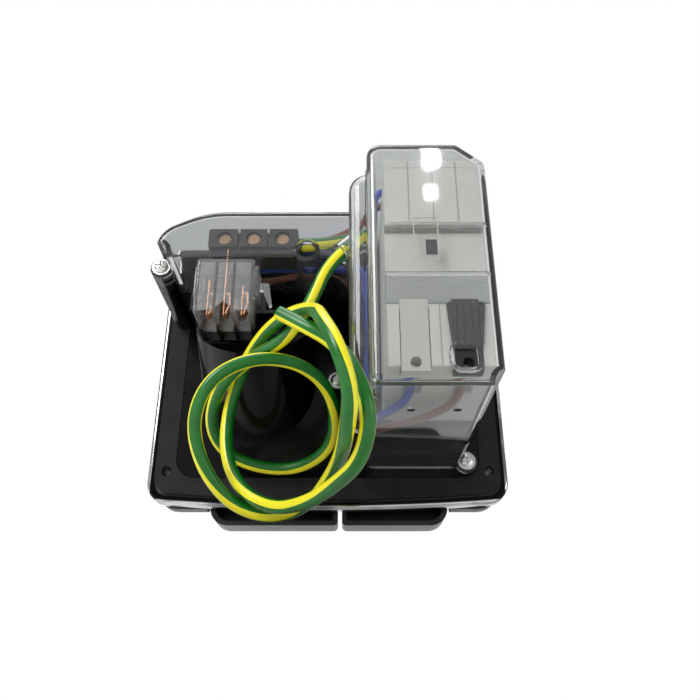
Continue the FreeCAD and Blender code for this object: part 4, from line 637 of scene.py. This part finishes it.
def cover_mesh():
    """The clear cover: breaker box, wiring channel and terminal compartment, joined and hollowed."""
    box = rounded((-16.5, -51.6, 3.6), (-60.6, -51.6, 4), (-60.3, 37.6, 4), (-50.0, 46.3, 4),
                  (-16.2, 46.3, 5))
    box_room = rounded((-18.5, -49.6, 2), (-58.4, -49.6, 2), (-58.3, 36.7, 3), (-49.3, 44.3, 3),
                       (-18.2, 44.3, 3))
    channel = rounded((-9.5, -51.6, 5.5), (-9.5, 43, 7.5), (-21, 43), (-21, -51.6))
    channel_room = rounded((-11.5, -49.6, 4), (-11.5, 41, 5.5), (-25, 41), (-25, -49.6))
    band = rounded((70, 19.6, 4), (70, 31.5, 12), (50, 41.6, 40), (-15, 41.6), (-15, 4), (-9.5, 4),
                   (-9.5, 19.6, 11), steps=10)
    band_room = rounded((68, 21.6, 2), (68, 31.2, 10), (49.4, 39.6, 38), (-15, 39.6), (-15, 6), (-11.5, 6),
                        (-11.5, 21.6, 13), steps=10)
    shell = soft_prism("box", box, 0.3, BOX_REAR, 3)
    steps = [
        ("+", soft_prism("channel", channel, 33, CHANNEL_REAR, 5)),
        ("+", soft_prism("band", band, 33, BAND_REAR, 3)),
        ("+", rod("exit_ring", EXIT_RING, 4.6, -4.6, 2.4, direction=EXIT_WAY)),
        ("-", rod("corner_notch", CORNER_SCREW, 5.2, 6.5, 110)),
        ("-", rod("end_notch", END_SCREW, 5.0, 51.6, 80)),
    ]
    outside = carve("cover_outside", shell, steps)
    room = carve("cover_room", soft_prism("box_room", box_room, -5, BOX_REAR - WALL, 1.5), [
        ("+", soft_prism("channel_room", channel_room, -5, CHANNEL_REAR - WALL, 3.4)),
        ("+", soft_prism("band_room", band_room, 10, BAND_REAR - WALL, 1.5)),
        ("-", rod("corner_wall", CORNER_SCREW, 7.0, -6, 110)),
        ("-", rod("end_wall", END_SCREW, 6.8, -6, 110)),
    ])
    inside = [("-", room)]
    for low, high, lip in ((9.0, 10.8, 16.0), (-11.5, -9.7, -19.7)):
        inside.append(("+", block("rail_web", (-58.3, -22.3), (95.2, 99.5), (low, high))))
        inside.append(("+", block("rail_lip", (-58.3, -22.3), (94.0, 95.8), tuple(sorted((low, lip))))))
    ring = rounded((-53.3, -48.4, 4), (-42.1, -48.4, 4), (-42.1, -37.2, 4), (-53.3, -37.2, 4))
    window = rounded((-51.7, -46.8, 2.4), (-43.7, -46.8, 2.4), (-43.7, -38.8, 2.4), (-51.7, -38.8, 2.4))
    inside += [
        ("+", rod("screw_tube", SCREW_TUBE, 5.3, 33, 66.2, round_high=0.6)),
        ("+", rod("corner_ear", (-61.2, -50), 4.8, 3.3, 6.3)),
        ("+", rod("end_ear", END_SCREW, 4.8, 44.3, 51.6, round_high=0.8)),
        ("+", rod("end_rib", END_SCREW, 4.8, 38, 44.6)),
        ("+", block("arm_rib", (-15.3, -13.3), (4, 52), (-15.5, -8.5))),
        ("+", block("arm_top", (-15.3, -9.6), (48.4, 52), (-15.5, -8.5))),
        ("+", block("arm_foot", (-15.3, -4), (4, 7), (-15.5, -8.5))),
        ("+", rod("arm_ear", (-4, -12), 4.8, 4, 7)),
        ("+", soft_prism("window_ring", ring, BOX_REAR - WALL, 102.2, 0.7)),
        ("-", soft_prism("window", window, 90, 110)),
        ("-", rod("tube_bore", SCREW_TUBE, 3.7, 36, 80)),
        ("-", rod("exit_bore", EXIT_RING, 3.3, -9, 9, direction=EXIT_WAY)),
        ("-", block("near_side", (-13.6, -8), (-2, 48.3), (-8.4, 8.4))),
        ("-", block("near_side_low", (-13.6, -8), (-2, 48.3), (-60, -15.6))),
    ]
    for x in (-47.8, -31.4):
        inside.append(("-", rod("probe", (x, 75.5), 1.5, -60, -45, axis="Z")))
    return carve("clear_cover", outside, inside)


def screw_mesh(name):
    """Round-head screws with a cross recess; each seat is (across, level, up)."""
    screws = None
    for x, level, z in SCREW_SEATS:
        head = rod("head", (x, z), 3.0, level, level + 2.3, round_high=1.6)
        head = carve("screw", head, [
            ("+", rod("washer", (x, z), 3.9, level - 0.05, level + 0.55)),
            ("-", block("slot", (x - 2.0, x + 2.0), (level + 1.1, level + 9), (z - 0.4, z + 0.4))),
            ("-", block("cross", (x - 0.4, x + 0.4), (level + 1.1, level + 9), (z - 2.0, z + 2.0))),
        ])
        screws = head if screws is None else carve(name, screws, [("+", head)])
    return screws


def add_breaker_details(plastic, dark):
    """The case's raised top edge with its seams, the fine frame with a dark plate in it as painted shade
    for its recess, and the ribbed clip.
    """
    top = carve("breaker_top", block("top", (-58.2, -22.6), (82.6, BREAKER_REAR), (36.4, 40.2), 0.6), [
        ("-", block("seam", (x - 0.25, x + 0.25), (96.4, 98), (36, 41))) for x in (-49.3, -40.4, -31.5)])
    shade_by_angle(new_piece("breaker_top", top, plastic))
    window = carve("breaker_window", block("frame", (-41.6, -32.6), (96.9, 97.25), (-3.4, 14.4)), [
        ("-", block("inner", (-41.2, -33.0), (96, 98), (-3.0, 14.0)))])
    new_piece("breaker_window", window, plastic)
    # A thin dark plate in the frame is painted shade for the recess in the grey case.
    new_piece("breaker_recess_painted_shade", block("recess", (-40.9, -36.9), (96.9, 97.2), (-1.6, 4.6)), dark)
    loop = rounded((-56.0, -20.9, 1), (-42.6, -20.9, 1), (-43.9, -38.2, 1), (-54.2, -38.2, 1))
    clip = soft_prism("clip", loop, 96.2, 98.2, 0.5)
    ribs = [("-", block("groove", (x - 0.35, x + 0.35), (97.3, 99), (-37.5, -19.5))) for x in
            (-53.2, -51.0, -48.2, -45.8)]
    clip = new_piece("ribbed_clip", carve("ribbed_clip", clip, ribs), dark, "din_clip_right")
    shade_by_angle(clip)


def connector_mesh():
    """The clear connector: three open cells, pointed mouths, ribs, side wings and a latch hook."""
    left, right, middle, pitch, half = 52.5, 28.9, 40.7, 7.3, 2.9
    steps = []
    for x in (middle - pitch, middle, middle + pitch):
        steps.append(("-", block("cell", (x - 3.0, x + 3.0), (45.2, 60.7), (-10, 18))))
    arch = rounded((37.6, -9), (43.8, -9), (43.8, -2.8), (middle, 0.4), (37.6, -2.8))
    steps.append(("-", soft_prism("arch", arch, 58, 64)))
    for x in (middle - pitch, middle + pitch):
        steps.append(("-", block("mouth", (x - half, x + half), (58, 64), (-9, -3.9))))
        roof = rounded((x - half, -2.6), (x, 0.4), (x + half, -2.6), (x + half, -1.9), (x, 1.1),
                       (x - half, -1.9))
        steps.append(("-", soft_prism("roof", roof, 61.2, 64)))
    for z in (2.2, 5.0, 10.5):
        steps.append(("+", block("rib", (right + 0.3, left - 0.3), (61, 62.6), (z, z + 0.6))))
    for x in (31.0, 36.2, 44.6, 49.8):
        steps.append(("+", block("guide", (x, x + 0.6), (61, 62.7), (4.0, 17))))
    for x in (right - 1.9, left - 0.9):
        steps.append(("+", block("wing", (x, x + 2.8), (50, 57), (4.5, 15), 0.9)))
        steps.append(("+", block("wing_step", (x + 0.6, x + 2.2), (50, 59), (8.5, 18), 0.6)))
    hook = rounded((23.6, 12), (22.0, 1.8, 0.5), (23.2, 1.4, 0.5), (26.2, 9), (29.2, 10), (29.2, 12))
    steps.append(("+", soft_prism("hook", hook, 52, 54.5)))
    body = block("body", (right, left), (44, CONNECTOR_REAR), (-5.2, 19.5), 0.9)
    return carve("clear_connector", body, steps)


def add_contacts(metal):
    """Three copper contacts seen on edge: a straight strip and a bent spring beside it."""
    contacts = (("contact_line", 33.6, 9), ("contact_earth", 40.9, 27), ("contact_neutral", 47.6, 12))
    for name, x, top in contacts:
        spring = rounded((x - 0.9, -3.6), (x - 0.4, -3.6), (x - 1.0, -1.4), (x - 2.0, 0.8), (x - 1.5, 6.0),
                         (x - 1.9, 6.0), (x - 2.5, 0.6), (x - 1.5, -1.6))
        mesh = carve(name + "_blade", block("blade", (x, x + 0.4), (51, 57), (-4, top)), [
            ("+", soft_prism("spring", spring, 52, 57)),
            ("+", block("root", (x - 1.9, x + 0.3), (52.5, 56.5), (5.5, 6.1)))])
        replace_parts(new_piece(name + "_blade", mesh, metal), name)


def skirt_mesh():
    """The frame's side below the bright trim, on both sides of the notch for the finger tabs."""
    outer = rounded((-77.0, 66.4, 9), (-77.0, -67.6, 9), (77.0, -67.6, 9), (77.0, 66.4, 9))
    inner = rounded((-74.6, 64.2, 7), (-74.6, -65.2, 7), (74.6, -65.2, 7), (74.6, 64.2, 7))
    return carve("frame_skirt", soft_prism("skirt", outer, -20, -9.2, 0, 4.5), [
        ("-", soft_prism("hollow", inner, -24, -5)),
        ("-", block("notch", (-55.5, 54.5), (-40, 10), (-80, -40))),
    ])


class InletColours(bpy.types.PropertyGroup):
    """Colours of the plastics and of the lead."""

    frame_grey: bpy.props.FloatVectorProperty(
        name="Frame", description="Dark grey of the moulded front frame", subtype="COLOR",
        default=linear((52, 52, 50)))
    shell_black: bpy.props.FloatVectorProperty(
        name="Housing", description="Black of the rear housing", subtype="COLOR",
        default=linear((9, 9, 11)))
    door_black: bpy.props.FloatVectorProperty(
        name="Doors", description="Black of the two doors", subtype="COLOR",
        default=linear((24, 24, 26)))
    foam_black: bpy.props.FloatVectorProperty(
        name="Gasket", description="Black of the foam gasket", subtype="COLOR",
        default=linear((33, 33, 32)))
    breaker_grey: bpy.props.FloatVectorProperty(
        name="Breaker", description="Warm light grey of the breaker", subtype="COLOR",
        default=linear((205, 205, 200)))
    lead_green: bpy.props.FloatVectorProperty(
        name="Lead green", description="Green of the earth lead", subtype="COLOR",
        default=linear((2, 100, 16)))
    lead_yellow: bpy.props.FloatVectorProperty(
        name="Lead yellow", description="Yellow stripe of the earth lead", subtype="COLOR",
        default=linear((236, 226, 20)))


class InletSizes(bpy.types.PropertyGroup):
    """Sizes of the wires and the place of the camera."""

    lead_radius: bpy.props.FloatProperty(
        name="Lead radius", description="Outer radius of the earth lead", unit="LENGTH", default=2.6 * MM)
    wire_radius: bpy.props.FloatProperty(
        name="Wire radius", description="Outer radius of an inner wire", unit="LENGTH", default=1.5 * MM)
    stripe_share: bpy.props.FloatProperty(
        name="Stripes", description="Share of the lead's girth that its two yellow stripes take",
        subtype="FACTOR", min=0, max=1, default=0.38)
    camera_place: bpy.props.FloatVectorProperty(
        name="Camera", description="Place of the camera", subtype="TRANSLATION", unit="LENGTH",
        default=(-0.010, 0.312, -0.1386))
    camera_pitch: bpy.props.FloatProperty(
        name="Camera pitch", description="Upward tilt of the view", subtype="ANGLE", unit="ROTATION",
        default=math.radians(25))
    camera_lens: bpy.props.FloatProperty(
        name="Lens", description="Focal length in millimetres", unit="CAMERA", default=36.8)


def colours():
    """The scene's colour settings."""
    return bpy.context.scene.inlet_colours


def sizes():
    """The scene's sizes and camera settings."""
    return bpy.context.scene.inlet_sizes


class DressFrame(bpy.types.Operator):
    """Finishes the front frame, its bright trim and the foam gasket"""

    bl_idname = "inlet.dress_frame"
    bl_label = "Frame, trim and gasket"

    def execute(self, context):
        plastic = moulded("frame_plastic", colours().frame_grey, 0.42, 0.00003, dust=0.3)
        dress(["front_frame"], plastic)
        skirt = new_piece("frame_skirt", skirt_mesh(), plastic)
        shade_by_angle(skirt)
        # The trim's dark streaks are painted reflection.
        dress(["trim_ring"], bright_metal("trim_chrome", (0.82, 0.82, 0.82), 0.10, painted_reflection_streaks=0.75))
        dress(["panel_gasket"], foam("gasket_foam", colours().foam_black))
        return {"FINISHED"}


class DressDoors(bpy.types.Operator):
    """Finishes both doors with their seals and hinge pins"""

    bl_idname = "inlet.dress_doors"
    bl_label = "Doors"

    def execute(self, context):
        dress(["inlet_door", "breaker_door"], moulded("door_plastic", colours().door_black, 0.3, 0.00002))
        dress(["inlet_door_seal", "breaker_door_seal"],
              moulded("seal_rubber", linear((28, 28, 28)), 0.75, 0.00005))
        dress(["inlet_hinge_pin", "breaker_hinge_pin"],
              bright_metal("hinge_steel", (0.6, 0.6, 0.6), 0.3, 0.2))
        return {"FINISHED"}


class DressHousing(bpy.types.Operator):
    """Finishes the black housing, the inlet's insert and its three pins"""

    bl_idname = "inlet.dress_housing"
    bl_label = "Housing and inlet"

    def execute(self, context):
        dress(["rear_housing"], moulded("housing_plastic", colours().shell_black, 0.15, 0.000008,
                                        spread=0.1, dust=0.1, shine=0.22))
        dress(["inlet_insert"], moulded("insert_plastic", linear((30, 60, 120)), 0.4))
        dress(["pin_line", "pin_neutral", "pin_earth"],
              bright_metal("pin_nickel", (0.72, 0.69, 0.62), 0.22, 0.1))
        return {"FINISHED"}


class DressCover(bpy.types.Operator):
    """Finishes the clear rear cover and its screws"""

    bl_idname = "inlet.dress_cover"
    bl_label = "Clear cover"

    def execute(self, context):
        # The cover's dark second colour is painted shade at its grazing edges.
        clear = clear_plastic("cover_clear", (0.66, 0.675, 0.67), (0.05, 0.07, 0.10), 0.045, 0.02)
        cover = new_piece("clear_cover", cover_mesh(), clear)
        shade_by_angle(cover, 28)
        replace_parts(cover, "rear_cover")
        steel = bright_metal("screw_steel", (0.78, 0.78, 0.76), 0.2, 0.1)
        screws = new_piece("cover_screw_heads", screw_mesh("cover_screw_heads"), steel)
        shade_by_angle(screws)
        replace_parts(screws, "cover_screws")
        return {"FINISHED"}


class DressBreaker(bpy.types.Operator):
    """Finishes the breaker with its lever, button, clips and screws"""

    bl_idname = "inlet.dress_breaker"
    bl_label = "Breaker"

    def execute(self, context):
        plastic = moulded("breaker_plastic", colours().breaker_grey, 0.5, 0.00003, 0.04)
        dress(["rcbo_case"], plastic)
        dress(["rcbo_terminal_screws"], bright_metal("terminal_zinc", (0.7, 0.68, 0.62), 0.3, 0.3))
        dress(["rcbo_lever"], moulded("lever_plastic", linear((32, 34, 38)), 0.35))
        dress(["rcbo_test_button"], moulded("button_plastic", linear((40, 80, 165)), 0.4))
        dress(["din_clip_left"], moulded("clip_grey", linear((196, 196, 190)), 0.45, 0.00003, 0.05))
        dark = moulded("clip_dark", linear((26, 27, 30)), 0.35, 0.00003)
        dress(["din_clip_right"], dark)
        add_breaker_details(plastic, dark)
        return {"FINISHED"}


class DressTerminals(bpy.types.Operator):
    """Finishes the terminal block and the clear output connector with its contacts"""

    bl_idname = "inlet.dress_terminals"
    bl_label = "Terminals and connector"

    def execute(self, context):
        dress(["terminal_block"], moulded("block_plastic", linear((12, 11, 10)), 0.4))
        dress(["terminal_screws"], bright_metal("terminal_brass", (0.42, 0.27, 0.17), 0.35, 0.3))
        # The connector's second colour is a faint painted shade at its grazing edges.
        clear = clear_plastic("connector_clear", (0.93, 0.94, 0.95), (0.75, 0.78, 0.8), haze_share=0.08)
        body = new_piece("clear_connector", connector_mesh(), clear)
        shade_by_angle(body, 25)
        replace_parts(body, "connector_shell")
        dress(["connector_base"], moulded("base_plastic", linear((14, 14, 15)), 0.2), 25)
        add_contacts(bright_metal("contact_copper", (0.86, 0.44, 0.24), 0.3, 0.15))
        return {"FINISHED"}


class LayInnerWires(bpy.types.Operator):
    """Lays the five wires inside the housing"""

    bl_idname = "inlet.lay_inner_wires"
    bl_label = "Inner wires"

    def execute(self, context):
        blue = moulded("wire_blue_skin", linear((32, 72, 190)), 0.35, 0.00003)
        brown = moulded("wire_brown_skin", linear((122, 62, 46)), 0.35, 0.00003)
        earth = striped_insulation("wire_earth_skin", colours().lead_green, colours().lead_yellow,
                                   sizes().stripe_share)
        kinds = {"line": (brown, "wire_brown", sizes().wire_radius),
                 "neutral": (blue, "wire_blue", sizes().wire_radius),
                 "earth": (earth, "wire_earth", sizes().lead_radius)}
        for name, points in INNER_ROUTES.items():
            material, slot, radius = kinds[name.split("_")[0]]
            mesh = tube_mesh(name + "_skin", along_route(name + "_path", points), radius, 20)
            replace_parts(new_piece(name + "_skin", mesh, material), name)
        return {"FINISHED"}


class LayEarthLead(bpy.types.Operator):
    """Lays the free earth lead, with its stripes turned as it lies"""

    bl_idname = "inlet.lay_earth_lead"
    bl_label = "Earth lead"

    def execute(self, context):
        line = along_route("lead_path", LEAD_ROUTE)
        twist = stripe_twist(line)
        skin = striped_insulation("lead_skin", colours().lead_green, colours().lead_yellow,
                                  sizes().stripe_share)
        mesh = tube_mesh("earth_lead_cord", line, sizes().lead_radius, 28, twist)
        lead = new_piece("earth_lead_cord", mesh, skin)
        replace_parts(lead, "earth_lead")
        return {"FINISHED"}


class SetStage(bpy.types.Operator):
    """Sets the pale floor, the lamps, the white background and the camera"""

    bl_idname = "inlet.set_stage"
    bl_label = "Studio and camera"

    def execute(self, context):
        set_floor()
        set_world()
        for lamp in LAMPS:
            add_lamp(*lamp)
        set_camera()
        context.scene.view_settings.view_transform = "Standard"
        return {"FINISHED"}


def set_floor():
    """A pale floor just under the object, open from below so that the low camera sees past it."""
    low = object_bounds()[0]
    half = 2.0
    height = low.z - 0.5 * MM
    mesh = bpy.data.meshes.new("floor")
    corners = [(-half, -half, height), (half, -half, height), (half, half, height), (-half, half, height)]
    mesh.from_pydata(corners, [], [(0, 1, 2, 3)])
    floor = bpy.data.objects.new("floor", mesh)
    bpy.context.scene.collection.objects.link(floor)
    finish = Finish("floor_paper")
    tone = finish.noise(3, 3)
    finish.set(Base_Color=finish.blend(tone, (0.84, 0.84, 0.83), (0.88, 0.88, 0.88)), Roughness=0.9)
    under = finish.node("ShaderNodeNewGeometry", output="Backfacing")
    finish.through(under, finish.node("ShaderNodeBsdfTransparent"))
    floor.data.materials.append(finish.material)
    floor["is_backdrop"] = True


def set_world():
    """White to the camera and through clear plastic; a plain soft room to everything else."""
    world = bpy.data.worlds.new("studio")
    bpy.context.scene.world = world
    world.use_nodes = True
    tree = world.node_tree
    tree.nodes.clear()
    path = tree.nodes.new("ShaderNodeLightPath")
    seen = tree.nodes.new("ShaderNodeMath")
    seen.operation = "MAXIMUM"
    tree.links.new(path.outputs["Is Camera Ray"], seen.inputs[0])
    tree.links.new(path.outputs["Is Transmission Ray"], seen.inputs[1])
    white = tree.nodes.new("ShaderNodeBackground")
    white.inputs["Color"].default_value = (1, 1, 1, 1)
    room = tree.nodes.new("ShaderNodeBackground")
    room.inputs["Color"].default_value = (0.96, 0.98, 1, 1)
    room.inputs["Strength"].default_value = 0.45
    mixed = tree.nodes.new("ShaderNodeMixShader")
    tree.links.new(seen.outputs[0], mixed.inputs[0])
    tree.links.new(room.outputs[0], mixed.inputs[1])
    tree.links.new(white.outputs[0], mixed.inputs[2])
    output = tree.nodes.new("ShaderNodeOutputWorld")
    tree.links.new(mixed.outputs[0], output.inputs[0])


def add_lamp(name, place, size, power):
    """A square soft lamp aimed at the object; it isn't seen through clear plastic."""
    lamp = bpy.data.lights.new(name, "AREA")
    lamp.size = size
    lamp.energy = power
    item = bpy.data.objects.new(name, lamp)
    item.location = place
    item.rotation_euler = (Vector(LAMP_TARGET) - Vector(place)).to_track_quat("-Z", "Y").to_euler()
    item.visible_transmission = False
    bpy.context.scene.collection.objects.link(item)


def set_camera():
    """The photograph's view: from behind and below, tilted up."""
    camera = bpy.data.cameras.new("camera")
    camera.sensor_width = 36
    camera.lens = sizes().camera_lens
    camera.clip_start = 0.01
    item = bpy.data.objects.new("camera", camera)
    item.location = sizes().camera_place
    pitch = sizes().camera_pitch
    forward = Vector((0, -math.cos(pitch), math.sin(pitch)))
    item.rotation_euler = forward.to_track_quat("-Z", "Y").to_euler()
    bpy.context.scene.collection.objects.link(item)
    bpy.context.scene.camera = item


class InletPanel(bpy.types.Panel):
    """Lists the steps that dress the power inlet"""

    bl_idname = "VIEW3D_PT_power_inlet"
    bl_label = "Power inlet"
    bl_space_type = "VIEW_3D"
    bl_region_type = "UI"
    bl_category = "Power inlet"

    def draw(self, context):
        for step in STEPS:
            self.layout.operator(step.bl_idname)
        for group in (colours(), sizes()):
            for name in group.__annotations__:
                self.layout.prop(group, name)


STEPS = (DressFrame, DressDoors, DressHousing, DressCover, DressBreaker, DressTerminals, LayInnerWires,
         LayEarthLead, SetStage)
CLASSES = (InletColours, InletSizes, *STEPS, InletPanel)


def register():
    for item in CLASSES:
        bpy.utils.register_class(item)
    bpy.types.Scene.inlet_colours = bpy.props.PointerProperty(type=InletColours)
    bpy.types.Scene.inlet_sizes = bpy.props.PointerProperty(type=InletSizes)


def unregister():
    del bpy.types.Scene.inlet_sizes
    del bpy.types.Scene.inlet_colours
    for item in reversed(CLASSES):
        bpy.utils.unregister_class(item)


def main():
    register()
    for step in STEPS:
        group, name = step.bl_idname.split(".")
        getattr(getattr(bpy.ops, group), name)()


if __name__ == "__main__":
    main()
